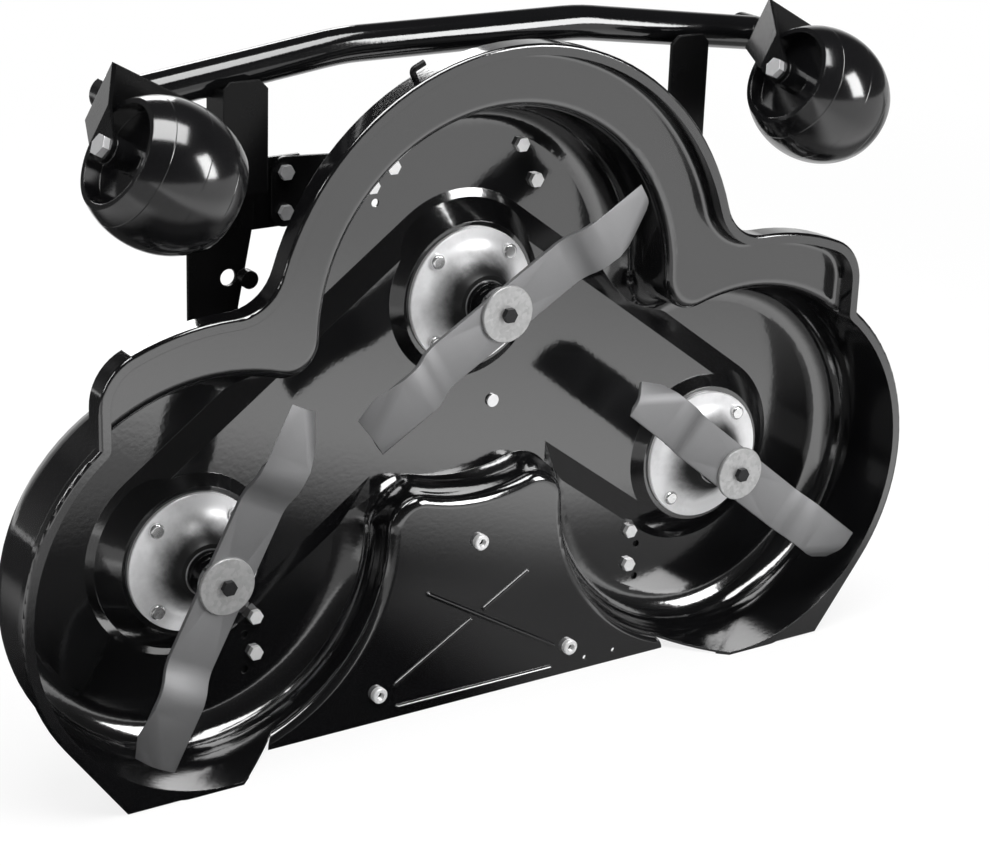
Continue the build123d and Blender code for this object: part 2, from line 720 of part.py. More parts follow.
def pan_bolt():
    """Round-headed M8 bolt of a spindle housing, the bearing face of its head at depth nought."""
    head = cylinder(PAN_HEAD_R, -M8_HEAD, 0)
    head = fillet(head.edges().group_by(Axis.Z)[-1], PAN_HEAD_ROUND)
    return head + cylinder(M8_R, 0, HOUSING_FLANGE + SHEET + M8_NUT + THREAD_SHOW)


def grouped(shape, depth, spots):
    """Copies of one fastener at a depth."""
    return Compound(children=[Pos(x, y, -depth) * shape for x, y in spots])


def pulley(grooves):
    """Belt pulley with one or two vee grooves, a thin web and a hub."""
    bottom = PULLEY_BOTTOM
    top = bottom + grooves * PULLEY_RIM
    hub_low = HOUSING_TOP + AXIAL_PLAY
    rim_in = PULLEY_R - PULLEY_GROOVE - PULLEY_WEB
    web_low = (bottom + top - PULLEY_WEB) / 2
    mouth = BELT_WIDTH / 2 + BELT_PLAY
    points = [(SHAFT_R, hub_low), (PULLEY_HUB_R, hub_low), (PULLEY_HUB_R, web_low), (rim_in, web_low)]
    points += [(rim_in, bottom), (PULLEY_R, bottom)]
    for groove in range(grooves):
        middle = bottom + (groove + 0.5) * PULLEY_RIM
        floor = mouth - PULLEY_GROOVE_SLOPE
        points += [(PULLEY_R, middle - mouth), (PULLEY_R - PULLEY_GROOVE, middle - floor)]
        points += [(PULLEY_R - PULLEY_GROOVE, middle + floor), (PULLEY_R, middle + mouth)]
    points += [(PULLEY_R, top), (rim_in, top), (rim_in, web_low + PULLEY_WEB)]
    points += [(PULLEY_HUB_R, web_low + PULLEY_WEB), (PULLEY_HUB_R, top), (SHAFT_R, top)]
    return turned(points)


def drive_belt():
    """Vee belt round the three pulleys: a bent length at each pulley and a straight run to the next."""
    wide = BELT_WIDTH / 2
    narrow = wide - PULLEY_GROOVE_SLOPE * BELT_HEIGHT / PULLEY_GROOVE
    outer = BELT_OUTER_R
    inner = BELT_INNER_R
    section = Polygon((outer, wide), (inner, narrow), (inner, -narrow), (outer, -wide), align=None)
    loop = [SPINDLES["left"], SPINDLES["right"], SPINDLES["centre"]]
    solid = Part()
    for place, spot in enumerate(loop):
        before = (spot - loop[place - 1]).normalized()
        after = (loop[(place + 1) % 3] - spot).normalized()
        middle = Vector(spot.X, spot.Y, -BELT_MID)
        arriving = Plane(middle, x_dir=(before.Y, -before.X, 0), z_dir=before)
        leaving = Plane(middle, x_dir=(after.Y, -after.X, 0), z_dir=after)
        solid += revolve(arriving * section, Axis(middle, (0, 0, 1)), before.get_angle(after))
        run = (loop[(place + 1) % 3] - spot).length
        solid += extrude(leaving * section, amount=run, dir=after)
    return solid


def idler_spot():
    """Axis of the idler pulley, against the inside of the belt's rear run."""
    return Vector(IDLER_PIVOT[0], -BELT_INNER_R + BELT_PLAY + IDLER_R)


def idler_arm():
    """Idler arm clamped on its pivot post."""
    pivot = Vector(*IDLER_PIVOT)
    spot = idler_spot()
    top = PULLEY_BOTTOM - AXIAL_PLAY
    low = top - IDLER_ARM_THICK
    ends = Sketch() + [Pos(p.X, p.Y) * Circle(IDLER_ARM_HALF) for p in (pivot, spot)]
    plate = extrude(Pos(0, 0, -top) * make_hull(ends.edges()), amount=IDLER_ARM_THICK)
    post = cylinder(IDLER_POST_R, PLATEAU_DEPTH + SHEET, low, IDLER_PIVOT)
    solid = plate + post
    for p in (pivot, spot):
        solid -= cylinder(M10_R + BOLT_HOLE_GAP, 0, top + OVER, (p.X, p.Y))
    return solid


def idler_pulley():
    """Flat idler pulley with a shallow rim on each edge of its inside."""
    bottom = PULLEY_BOTTOM
    top = bottom + PULLEY_RIM
    hub = M10_R + IDLER_BORE_WALL
    rim_in = IDLER_R - PULLEY_WEB
    web_low = (bottom + top - PULLEY_WEB) / 2
    bore = M10_R + RUNNING_FIT
    web_high = web_low + PULLEY_WEB
    points = [(bore, bottom), (hub, bottom), (hub, web_low), (rim_in, web_low), (rim_in, bottom)]
    points += [(IDLER_R, bottom), (IDLER_R, top)]
    points += [(rim_in, top), (rim_in, web_high), (hub, web_high), (hub, top), (bore, top)]
    return turned(points)


def tube_path():
    """Centre line of the front tube: straight in the middle, its ends swept back to the castors."""
    plan = FilletPolyline(
        (-CASTOR_HALF, CASTOR_FRONT),
        (-TUBE_BEND_HALF, TUBE_FRONT),
        (TUBE_BEND_HALF, TUBE_FRONT),
        (CASTOR_HALF, CASTOR_FRONT),
        radius=TUBE_BEND_R,
    )
    return Pos(0, 0, -TUBE_DEPTH) * plan


def rod(path, radius):
    """A round bar along a path."""
    return sweep(Plane(path @ 0, z_dir=path % 0) * Circle(radius), path=path)


def front_tube():
    """Front tube with a castor sleeve welded to each end."""
    path = tube_path()
    solid = rod(path, TUBE_R) - rod(path, TUBE_R - TUBE_WALL)
    for side in SIDES.values():
        at = (side * CASTOR_HALF, CASTOR_FRONT)
        sleeve = cylinder(SLEEVE_R, SLEEVE_BOTTOM, SLEEVE_TOP, at)
        solid = solid - sleeve + sleeve
    for side in SIDES.values():
        at = (side * CASTOR_HALF, CASTOR_FRONT)
        solid -= cylinder(PIN_R + RUNNING_FIT, SLEEVE_BOTTOM - OVER, SLEEVE_TOP + OVER, at)
    return solid


def arm_plate():
    """Front plate of the right arm, narrowed towards the rear, with a welded boss on its inner edge."""
    rear = ARM_FRONT - ARM_HALF
    outline = make_face(Polyline(
        (ARM_PLATE_OUT, rear),
        (ARM_PLATE_OUT, ARM_PLATE_FRONT),
        (ARM_PLATE_IN, ARM_PLATE_FRONT),
        (ARM_PLATE_IN, ARM_PLATE_WAIST),
        ARM_PLATE_NECK,
        (ARM_PLATE_NECK[0], rear),
        close=True,
    ))
    plate = extrude(Pos(0, 0, -ARM_TOP) * outline, amount=ARM_WALL)
    return plate + cylinder(ARM_BOSS_R, ROOF_TOP - ARM_BOSS_HEIGHT, ROOF_TOP, ARM_BOSS)


def post():
    """Angle-shaped post of the right arm, from its front plate up to the tube."""
    slope = (TUBE_FRONT - CASTOR_FRONT) / (CASTOR_HALF - TUBE_BEND_HALF)
    front = TUBE_FRONT - slope * (POST_CENTRE - TUBE_BEND_HALF) - POST_TOP_GAP
    inner = POST_CENTRE - POST_HALF
    outer = POST_CENTRE + POST_HALF
    web = block(inner, outer, POST_REAR, front, POST_DEPTH, POST_DEPTH + ARM_WALL)
    web = chamfer(web.edges().filter_by(Axis.Z).group_by(Axis.Y)[-1], POST_CORNER)
    return web + block(outer - ARM_WALL, outer, POST_REAR, front - POST_CORNER, POST_DEPTH, ARM_TOP)


def arm():
    """Right carrying arm: a channel over the roof with hitch ears, a front plate, a post and a lug."""
    left = ARM_CENTRE - ARM_HALF
    right = ARM_CENTRE + ARM_HALF
    channel_top = ROOF_TOP + ARM_FLANGE
    ear_top = ROOF_TOP + ARM_EAR
    solid = block(left, right, REAR, ARM_FRONT, ROOF_TOP, channel_top)
    ear = block(left, right, REAR, REAR + ARM_EAR_LENGTH, ROOF_TOP, ear_top)
    ear = fillet(ear.edges().filter_by(Axis.X).group_by(Axis.Z)[0].group_by(Axis.Y)[-1], ARM_PIN_R)
    solid += ear
    solid -= block(left + ARM_WALL, right - ARM_WALL, REAR - OVER, ARM_FRONT + OVER, ARM_TOP, ear_top + OVER)
    pin_at = Pos(ARM_CENTRE, REAR + ARM_PIN_REAR, -(ear_top - 2 * ARM_PIN_R))
    solid -= pin_at * Rot(0, 90, 0) * Cylinder(ARM_PIN_R, 4 * ARM_HALF)
    solid += arm_plate()
    lug_low = min(LUG_ROWS) - BRACKET_EDGE
    lug_high = max(LUG_ROWS) + BRACKET_EDGE
    solid += block(LUG_IN, ARM_PLATE_OUT, lug_low, lug_high, ARM_TOP, ARM_TOP + ARM_WALL)
    solid += post()
    solid -= rod(tube_path(), TUBE_R + WELD_GAP)
    for spot in roof_bolt_spots() + lug_bolt_spots():
        solid -= cylinder(M8_R + BOLT_HOLE_GAP, ROOF_TOP - OVER, ARM_TOP + 2 * ARM_WALL, spot)
    return solid - cylinder(ARM_PLATE_HOLE_R, ROOF_TOP - OVER, ARM_TOP + 2 * ARM_WALL, ARM_PLATE_HOLE)


def bracket(name):
    """Flat bracket between the roof and the lug of one arm."""
    side = SIDES[name]
    spots = [(side * x, y) for x, y in BRACKET_BOLTS[name]]
    spots += [(side * LUG_BOLT_REACH, row) for row in LUG_ROWS]
    ends = Sketch() + [Pos(x, y) * Circle(BRACKET_EDGE) for x, y in spots]
    solid = extrude(Pos(0, 0, -ARM_TOP) * make_hull(ends.edges()), amount=ARM_WALL)
    for spot in spots:
        solid -= cylinder(M8_R + BOLT_HOLE_GAP, ROOF_TOP - OVER, ARM_TOP + OVER, spot)
    return solid


def fork_profile(half, top):
    """Bar with the section of a fork: straight beside the axle, then drawn in to the crown."""
    low = AXLE_DEPTH - WHEEL_R
    waist = AXLE_DEPTH + FORK_STRAIGHT
    crown = half - FORK_SPLAY
    section = Polygon(
        (-half, -low),
        (half, -low),
        (half, -waist),
        (crown, -top),
        (-crown, -top),
        (-half, -waist),
        align=None,
    )
    return extrude(Plane.XZ * section, amount=2 * WHEEL_R, both=True)


def castor_fork():
    """Castor fork about its swivel axis: a bent strip with splayed, tapered arms, and the swivel pin."""
    crown_top = CROWN_DEPTH + FORK_PLATE
    strip = fork_profile(FORK_OUTER, crown_top)
    strip = fillet(strip.edges().filter_by(Axis.Y).group_by(Axis.Z)[0], FORK_BEND_R)
    strip -= fork_profile(FORK_INNER, CROWN_DEPTH)
    eye = Pos(-CASTOR_TRAIL, -AXLE_DEPTH) * Circle(FORK_EYE_R)
    crown = Pos(0, -(CROWN_DEPTH + crown_top) / 2) * Rectangle(2 * FORK_HALF_LENGTH, FORK_PLATE)
    outline = make_hull((Sketch() + [eye, crown]).edges())
    arms = extrude(Plane.YZ * outline, amount=2 * FORK_OUTER, both=True)
    solid = strip & arms
    solid += cylinder(PIN_R, CROWN_DEPTH, SLEEVE_TOP + PIN_SHOW)
    axle = Pos(0, -CASTOR_TRAIL, -AXLE_DEPTH) * Rot(0, 90, 0)
    return solid - axle * Cylinder(M10_R, 4 * FORK_OUTER)


def castor_clip():
    """Retaining ring on the castor pin above the sleeve."""
    low = SLEEVE_TOP + SWIVEL_GAP
    return cylinder(CLIP_R, low, low + CLIP_THICK) - cylinder(PIN_R, low - OVER, low + OVER)


def wheel():
    """Barrel-shaped castor wheel with recessed ends, about its axle along X."""
    bore = M10_R + RUNNING_FIT
    rim_in = WHEEL_END_R - WHEEL_RIM
    hub_end = FORK_INNER - AXIAL_PLAY
    floor = WHEEL_HALF - WHEEL_RECESS
    drop = WHEEL_R - WHEEL_END_R
    level = (WHEEL_HALF**2 - drop**2) / (2 * drop)
    ends = [(level, WHEEL_HALF), (level, -WHEEL_HALF)]
    barrel = Spline((-WHEEL_HALF, WHEEL_END_R), (0, WHEEL_R), (WHEEL_HALF, WHEEL_END_R), tangents=ends)
    inside = Polyline(
        (WHEEL_HALF, WHEEL_END_R),
        (WHEEL_HALF, rim_in),
        (floor, rim_in),
        (floor, WHEEL_HUB_R),
        (hub_end, WHEEL_HUB_R),
        (hub_end, bore),
        (-hub_end, bore),
        (-hub_end, WHEEL_HUB_R),
        (-floor, WHEEL_HUB_R),
        (-floor, rim_in),
        (-WHEEL_HALF, rim_in),
        (-WHEEL_HALF, WHEEL_END_R),
    )
    solid = revolve(make_face([barrel, *inside.edges()]), Axis.X)
    return Pos(0, -CASTOR_TRAIL, -AXLE_DEPTH) * solid


def axle_bolt():
    """Axle bolt of a castor wheel, its head on the left arm."""
    grip = 2 * FORK_OUTER + M10_NUT + THREAD_SHOW
    bolt = hex_bolt(M10_R, M10_FLATS, M10_HEAD, grip)
    return Pos(-FORK_OUTER, -CASTOR_TRAIL, -AXLE_DEPTH) * Rot(0, -90, 0) * bolt


def axle_nut():
    """Nut of the axle bolt, on the right arm."""
    nut = hex_nut(M10_R, M10_FLATS, M10_NUT)
    return Pos(FORK_OUTER, -CASTOR_TRAIL, -AXLE_DEPTH) * Rot(0, -90, 0) * nut


def cable_hook():
    """Small rod hook on the apron's outer wall."""
    turn = radians(HOOK_ANGLE)
    out = Vector(cos(turn), sin(turn))
    tangent = Vector(out.Y, -out.X)
    wall = APRON_R + SHEET + LIP_WIDTH + WELD_GAP
    start = SPINDLES["centre"] + out * wall
    corner = start + out * HOOK_REACH
    plan = FilletPolyline(start, corner, corner + tangent * HOOK_LENGTH, radius=HOOK_BEND_R)
    return rod(Pos(0, 0, -HOOK_DEPTH) * plan, HOOK_R)


save("deck_shell", deck_shell())
save("panel_nuts", panel_nuts())

for name, spindle in SPINDLES.items():
    grooves = 2 if name == "centre" else 1
    at = Pos(spindle.X, spindle.Y)
    nut_depth = PULLEY_BOTTOM + grooves * PULLEY_RIM
    bolt = hex_bolt(M8_R, M8_FLATS, M8_HEAD, HUB_BOTTOM - WASHER_FACE + BLADE_BOLT_DEPTH)
    save(f"spindle_housing_{name}", at * housing())
    save(f"bearings_{name}", at * bearings())
    save(f"spindle_shaft_{name}", at * spindle_shaft(grooves))
    save(f"blade_hub_{name}", at * blade_hub())
    save(f"blade_{name}", at * Rot(0, 0, BLADE_ANGLES[name]) * blade())
    save(f"blade_washer_{name}", at * blade_washer())
    save(f"blade_bolt_{name}", at * Pos(0, 0, -WASHER_FACE) * bolt)
    save(f"pulley_{name}", at * pulley(grooves))
    save(f"pulley_nut_{name}", at * Pos(0, 0, -nut_depth) * hex_nut(SHAFT_R, SHAFT_NUT_FLATS, SHAFT_NUT))

roof_bolt = hex_bolt(M8_R, M8_FLATS, M8_HEAD, SHEET + ARM_WALL + M8_NUT + THREAD_SHOW)
lug_bolt = hex_bolt(M8_R, M8_FLATS, M8_HEAD, 2 * ARM_WALL + M8_NUT + THREAD_SHOW)
m8_nut = hex_nut(M8_R, M8_FLATS, M8_NUT)
save("housing_bolts", grouped(pan_bolt(), FLANGE_FACE, housing_bolt_spots()))
save("housing_nuts", grouped(m8_nut, BOSS_TOP, housing_bolt_spots()))
save("roof_bolts", grouped(roof_bolt, ROOF_DEPTH, roof_bolt_spots()))
save("roof_nuts", grouped(m8_nut, ARM_TOP, roof_bolt_spots()))
save("lug_bolts", grouped(lug_bolt, ROOF_TOP, lug_bolt_spots()))
save("lug_nuts", grouped(m8_nut, ARM_TOP + ARM_WALL, lug_bolt_spots()))

save("drive_belt", drive_belt())
save("idler_arm", idler_arm())
idler_at = (idler_spot().X, idler_spot().Y)
save("idler_pulley", Pos(*idler_at) * idler_pulley())
idler_low = PULLEY_BOTTOM - AXIAL_PLAY - IDLER_ARM_THICK
idler_grip = AXIAL_PLAY + IDLER_ARM_THICK + PULLEY_RIM + AXIAL_PLAY
m10_nut = hex_nut(M10_R, M10_FLATS, M10_NUT)
idler_top = PULLEY_BOTTOM + PULLEY_RIM + AXIAL_PLAY
idler_bolt = hex_bolt(M10_R, M10_FLATS, M10_HEAD, idler_grip + M10_NUT + THREAD_SHOW)
save("idler_axle_bolt", Pos(*idler_at, -idler_top) * Rot(180, 0, 0) * idler_bolt)
pivot_top = PULLEY_BOTTOM - AXIAL_PLAY
pivot_head = cylinder(PIVOT_HEAD_R, PLATEAU_DEPTH - PIVOT_HEAD, PLATEAU_DEPTH, IDLER_PIVOT)
pivot_shank = cylinder(M10_R, PLATEAU_DEPTH, pivot_top + M10_NUT + THREAD_SHOW, IDLER_PIVOT)
save("idler_pivot_bolt", pivot_head + pivot_shank)
idler_nuts = [
    Pos(*idler_at, -idler_low) * Rot(180, 0, 0) * m10_nut,
    Pos(*IDLER_PIVOT, -pivot_top) * m10_nut,
]
save("idler_nuts", Compound(children=idler_nuts))

save("front_tube", front_tube())
save("arm_right", arm())
save("arm_left", mirror(arm(), Plane.YZ))
for name, side in SIDES.items():
    castor = Pos(side * CASTOR_HALF, CASTOR_FRONT) * Rot(0, 0, -CASTOR_TURN)
    save(f"bracket_{name}", bracket(name))
    save(f"castor_fork_{name}", castor * castor_fork())
    save(f"castor_clip_{name}", castor * castor_clip())
    save(f"wheel_{name}", castor * wheel())
    save(f"axle_bolt_{name}", castor * axle_bolt())
    save(f"axle_nut_{name}", castor * axle_nut())
save("cable_hook", cable_hook())
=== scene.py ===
"""Looks of a three-blade mower deck that stands on its rear edge: blades, housings, finishes, studio."""

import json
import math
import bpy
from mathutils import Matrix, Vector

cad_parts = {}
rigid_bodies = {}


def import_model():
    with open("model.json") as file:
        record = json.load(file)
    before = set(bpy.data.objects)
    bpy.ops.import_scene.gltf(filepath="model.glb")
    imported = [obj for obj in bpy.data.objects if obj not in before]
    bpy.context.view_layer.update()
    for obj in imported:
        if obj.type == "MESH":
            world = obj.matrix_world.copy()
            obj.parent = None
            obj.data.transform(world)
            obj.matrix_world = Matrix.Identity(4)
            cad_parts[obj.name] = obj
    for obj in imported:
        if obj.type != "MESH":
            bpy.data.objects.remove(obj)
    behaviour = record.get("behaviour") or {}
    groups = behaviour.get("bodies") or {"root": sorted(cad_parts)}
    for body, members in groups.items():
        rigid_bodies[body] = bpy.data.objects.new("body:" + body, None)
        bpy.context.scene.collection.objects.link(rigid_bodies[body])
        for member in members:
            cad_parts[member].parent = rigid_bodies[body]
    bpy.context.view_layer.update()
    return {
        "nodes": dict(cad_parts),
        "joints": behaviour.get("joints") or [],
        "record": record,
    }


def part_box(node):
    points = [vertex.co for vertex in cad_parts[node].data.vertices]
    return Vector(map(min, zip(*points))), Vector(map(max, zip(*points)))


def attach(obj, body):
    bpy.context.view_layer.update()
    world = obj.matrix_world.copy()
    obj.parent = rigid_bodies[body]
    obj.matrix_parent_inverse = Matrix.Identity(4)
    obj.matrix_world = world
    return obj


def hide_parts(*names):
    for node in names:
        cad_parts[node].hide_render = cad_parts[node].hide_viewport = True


bl_info = {
    "name": "Mower Deck",
    "version": (1, 0, 0),
    "blender": (4, 5, 0),
    "location": "3D View > Sidebar > Mower Deck",
    "description": "Blades, spindle housings, finishes and a plain studio for a three-blade mower deck",
    "category": "Object",
}

import bpy
from bpy.props import FloatProperty, FloatVectorProperty, IntProperty, PointerProperty
from mathutils import Matrix, Quaternion, Vector

for leftover in list(bpy.context.scene.objects):
    bpy.data.objects.remove(leftover)
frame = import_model()

SIDES = ("left", "right")
SPINDLES = ("left", "centre", "right")
JOINTS = {joint["name"]: joint for joint in frame["joints"]}

# What only the modelling needs: how near counts as touching, what is merged, drills, angles and steps.
NEAR = 0.0001
MERGE = 0.00001
DRILL_DEPTH = 0.03
SMOOTH_ANGLE = math.radians(30.0)
ROUND_ANGLE = math.radians(35.0)
QUARTER_TURN = math.radians(90.0)
BOLT_TURNS = tuple(math.radians(degrees) for degrees in (45.0, 135.0, 225.0, 315.0))
FLARE_STEPS = 14


def colour_property(name, description, default):
    """A colour that a user may change."""
    return FloatVectorProperty(
        name=name, description=description, default=default, subtype="COLOR", min=0.0, max=1.0
    )


def length_property(name, description, default):
    """A length in metres that a user may change."""
    return FloatProperty(
        name=name, description=description, default=default, min=0.0, precision=5, unit="LENGTH"
    )


def angle_property(name, description, degrees):
    """An angle that a user may change, with its default in degrees."""
    return FloatProperty(
        name=name, description=description, default=math.radians(degrees), subtype="ANGLE"
    )


def point_property(name, description, default):
    """A place in metres that a user may change."""
    return FloatVectorProperty(
        name=name, description=description, default=default, subtype="TRANSLATION", unit="LENGTH"
    )


def corner_property(name, description, default):
    """A corner of a flat sheet, in metres, that a user may change."""
    return FloatVectorProperty(
        name=name, description=description, default=default, size=2, precision=5, unit="LENGTH"
    )


class DeckFinishes(bpy.types.PropertyGroup):
    """Colours of the deck's finishes."""

    paint: colour_property("Paint", "Gloss paint of the shell, tube and hubs", (0.005, 0.005, 0.0055))
    frame: colour_property("Frame", "Satin paint of the carrying frame and hook", (0.004, 0.004, 0.0042))
    blade: colour_property("Blade", "Satin grey of the cutting blades", (0.3, 0.3, 0.305))
    casting: colour_property("Casting", "Bright spindle housings", (0.95, 0.95, 0.96))
    plating: colour_property("Plating", "Zinc plating of bolts, nuts and pulleys", (0.92, 0.92, 0.93))
    insert: colour_property("Insert", "Bright inserts, roof bolts and housing bolts", (0.97, 0.97, 0.97))
    washer: colour_property("Washer", "Thick washers under the blade bolts", (0.56, 0.56, 0.56))
    oxide: colour_property("Oxide", "Blackened blade bolts", (0.045, 0.045, 0.047))
    plastic: colour_property("Plastic", "Moulded castor wheels", (0.006, 0.006, 0.0065))
    rubber: colour_property("Rubber", "Drive belt", (0.018, 0.018, 0.018))


class DeckDetails(bpy.types.PropertyGroup):
    """Sizes of the small details in the finishes."""

    peel: length_property("Peel", "Size of the ripple in the stoved paint", 0.0045)
    edge: length_property("Edge", "Softening of painted edges", 0.0007)
    plate_edge: length_property("Plate edge", "Softening of the edges of plates and forks", 0.0014)
    turning: length_property("Turning", "Distance between turning lines on the housings", 0.0009)
    mould_line: length_property("Mould line", "Distance of a wheel's mould lines from its middle", 0.033)
    mould_width: length_property("Mould width", "Width of a mould line", 0.0006)


class DeckBlade(bpy.types.PropertyGroup):
    """Sizes of a cutting blade."""

    length: length_property("Length", "Reach from tip to tip", 0.358)
    width: length_property("Width", "Width of the strip", 0.048)
    thick: length_property("Thickness", "Thickness of the strip", 0.0045)
    crank_start: length_property("Crank start", "Distance of the first bend from the middle", 0.086)
    crank_run: length_property("Crank run", "Length of the slope between the bends", 0.020)
    drop: length_property("Drop", "How far the wings stand towards the ground", 0.0128)
    crank_round: length_property("Crank round", "How far each bend is rounded", 0.0095)
    sail_start: length_property("Sail start", "Distance of the sail's inner end from the middle", 0.130)
    sail_side: length_property("Sail side", "Where the fold meets the tip, from the middle line", 0.005)
    sail_round: length_property("Sail round", "How far the fold is rounded", 0.006)
    sail_inner: corner_property("Sail inner", "Inner corner, along and up the fold", (0.023, 0.0147))
    sail_outer: corner_property("Sail outer", "Outer corner, along and up the fold", (0.0463, 0.0191))
    sail_angle: angle_property("Sail angle", "How far the sail is folded up", 46.0)
    bevel: length_property("Ground bevel", "Width of the ground edge", 0.009)
    edge: length_property("Edge", "Rounding of the sheared edges", 0.0005)
    hole: length_property("Hole", "Radius of the bolt hole", 0.0042)
    middle: length_property("Middle", "Depth of the strip's middle under the lip", 0.01935)
    turn_left: angle_property("Left turn", "How the left blade is turned", 62.7)
    turn_centre: angle_property("Centre turn", "How the centre blade is turned", 30.9)
    turn_right: angle_property("Right turn", "How the right blade is turned", 141.2)


class DeckHousing(bpy.types.PropertyGroup):
    """Sizes of a spindle housing, its depths under the lip."""

    flange: length_property("Flange", "Radius of the flange", 0.068)
    flare: length_property("Flare", "Radius where the flange begins to curve", 0.060)
    nose: length_property("Nose", "Radius of the nose", 0.0285)
    bore: length_property("Bore", "Radius of the bearing bore", 0.0235)
    body: length_property("Body", "Radius above the roof", 0.032)
    chamfer: length_property("Chamfer", "Broken edges", 0.0008)
    nose_depth: length_property("Nose depth", "Depth of the nose", 0.0518)
    face_depth: length_property("Face depth", "Depth of the flange's face", 0.0776)
    seat_depth: length_property("Seat depth", "Depth of the flange's seat", 0.082)
    top_depth: length_property("Top depth", "Depth of the top", 0.123)
    bolt_circle: length_property("Bolt circle", "Radius of the bolt circle", 0.057)
    bolt_hole: length_property("Bolt hole", "Radius of the bolt holes", 0.0042)


class DeckStudio(bpy.types.PropertyGroup):
    """Camera, floor and even light."""

    camera_place: point_property("Camera place", "Where the camera stands", (-1.269, -1.899, 1.136))
    camera_aim: point_property("Camera aim", "Middle of the picture", (-0.0129, -0.0340, 0.2975))
    camera_roll: angle_property("Camera roll", "Turn about the line of sight", 2.08)
    camera_lens: FloatProperty(
        name="Lens", description="Focal length in millimetres", default=92.15, min=1.0
    )
    floor_size: length_property("Floor", "Side of the floor", 60.0)
    floor_colour: colour_property("Floor colour", "Pale floor", (0.86, 0.86, 0.86))
    pool_near: length_property("Pool near", "Where the pool of light on the floor begins", 0.26)
    pool_far: length_property("Pool far", "Where the pool of light on the floor is full", 0.58)
    pool_end: length_property("Pool end", "Where the pool of light on the floor has faded", 1.5)
    floor_white: FloatProperty(
        name="Floor white",
        description="Share of plain white in the floor's look",
        default=0.82,
        min=0.0,
        max=1.0,
        subtype="FACTOR",
    )
    sky: FloatProperty(
        name="Sky", description="Strength of the even light from all round", default=0.35, min=0.0
    )
    samples: IntProperty(
        name="Edge samples", description="Samples of the softened edges", default=3, min=2, max=16
    )


class Socket:
    """Output of a node, which takes part in sums like a number."""

    def __init__(self, shader, output):
        self.shader = shader
        self.output = output

    def calculate(self, operation, first, second):
        """A Math node on two values."""
        return self.shader.node("ShaderNodeMath", {"operation": operation}, {0: first, 1: second})

    def __add__(self, other):
        return self.calculate("ADD", self, other)

    def __radd__(self, other):
        return self.calculate("ADD", other, self)

    def __sub__(self, other):
        return self.calculate("SUBTRACT", self, other)

    def __rsub__(self, other):
        return self.calculate("SUBTRACT", other, self)

    def __mul__(self, other):
        return self.calculate("MULTIPLY", self, other)

    def __rmul__(self, other):
        return self.calculate("MULTIPLY", other, self)

    def __abs__(self):
        return self.calculate("ABSOLUTE", self, 0.0)

    def at_most(self, limit):
        """The value, or the limit where that is less."""
        return self.calculate("MINIMUM", self, limit)

    def at_least(self, limit):
        """The value, or the limit where that is more."""
        return self.calculate("MAXIMUM", self, limit)


class Shader:
    """Nodes of one finish or of the world."""

    def __init__(self, tree):
        self.tree = tree
        self.tree.nodes.clear()

    def node(self, kind, settings=None, values=None, out=0):
        """Adds a node, sets it, fills its inputs and returns one of its outputs."""
        made = self.tree.nodes.new(kind)
        for name, value in (settings or {}).items():
            if name == "stops":
                self.stops(made.color_ramp, value)
            else:
                setattr(made, name, value)
        for name, value in (values or {}).items():
            if isinstance(value, Socket):
                self.tree.links.new(value.output, made.inputs[name])
            else:
                made.inputs[name].default_value = value
        return Socket(self, made.outputs[out]) if len(made.outputs) else made

    def stops(self, ramp, stops):
        """Gives a ramp its places and greys."""
        while len(ramp.elements) < len(stops):
            ramp.elements.new(1.0)
        for element, (place, grey) in zip(ramp.elements, stops):
            element.position = place
            element.color = (grey, grey, grey, 1.0)

    def place(self):
        """Place on the piece, in metres."""
        return self.node("ShaderNodeTexCoord", out="Object")

    def axis(self, place, name):
        """One of the three numbers of a place or direction."""
        return self.node("ShaderNodeSeparateXYZ", None, {"Vector": place}, out=name)

    def length(self, vector):
        """Length of a vector."""
        return self.node("ShaderNodeVectorMath", {"operation": "LENGTH"}, {0: vector}, out="Value")

    def ray(self, kind):
        """1 on rays of a kind, such as those from the camera, and 0 on others."""
        return self.node("ShaderNodeLightPath", out=kind)

    def noise(self, place, size, detail=2.0, roughness=0.5):
        """Soft noise from 0 to 1 with features of a size in metres."""
        return self.node(
            "ShaderNodeTexNoise",
            None,
            {"Vector": place, "Scale": 1.0 / size, "Detail": detail, "Roughness": roughness},
        )

    def ramp(self, value, stops):
        """Maps a value from 0 to 1 through stops."""
        return self.node("ShaderNodeValToRGB", {"stops": stops}, {"Fac": value})

    def ease(self, value, start, end, first, last):
        """Goes softly from the first result to the last while a value goes from start to end."""
        return self.node(
            "ShaderNodeMapRange",
            {"interpolation_type": "SMOOTHSTEP"},
            {"Value": value, "From Min": start, "From Max": end, "To Min": first, "To Max": last},
        )

    def shade(self, colour, factor, darkest):
        """A colour that goes towards a darker one of itself where the factor falls."""
        dark = tuple(part * darkest for part in colour)
        return self.node(
            "ShaderNodeMix",
            {"data_type": "RGBA"},
            {"Factor": factor, "A": (*dark, 1.0), "B": (*colour, 1.0)},
            out="Result",
        )

    def bump(self, height, distance, strength=1.0, normal=None):
        """Normal of a surface with a height in parts of a distance in metres."""
        values = {"Height": height, "Distance": distance, "Strength": strength}
        if normal is not None:
            values["Normal"] = normal
        return self.node("ShaderNodeBump", None, values)

    def softened(self, radius):
        """Normal that runs round sharp edges."""
        return self.node("ShaderNodeBevel", {"samples": studio().samples}, {"Radius": radius})

    def surface(self, values):
        """Principled surface on the material's output."""
        shader = self.node("ShaderNodeBsdfPrincipled", None, values)
        self.node("ShaderNodeOutputMaterial", None, {"Surface": shader})


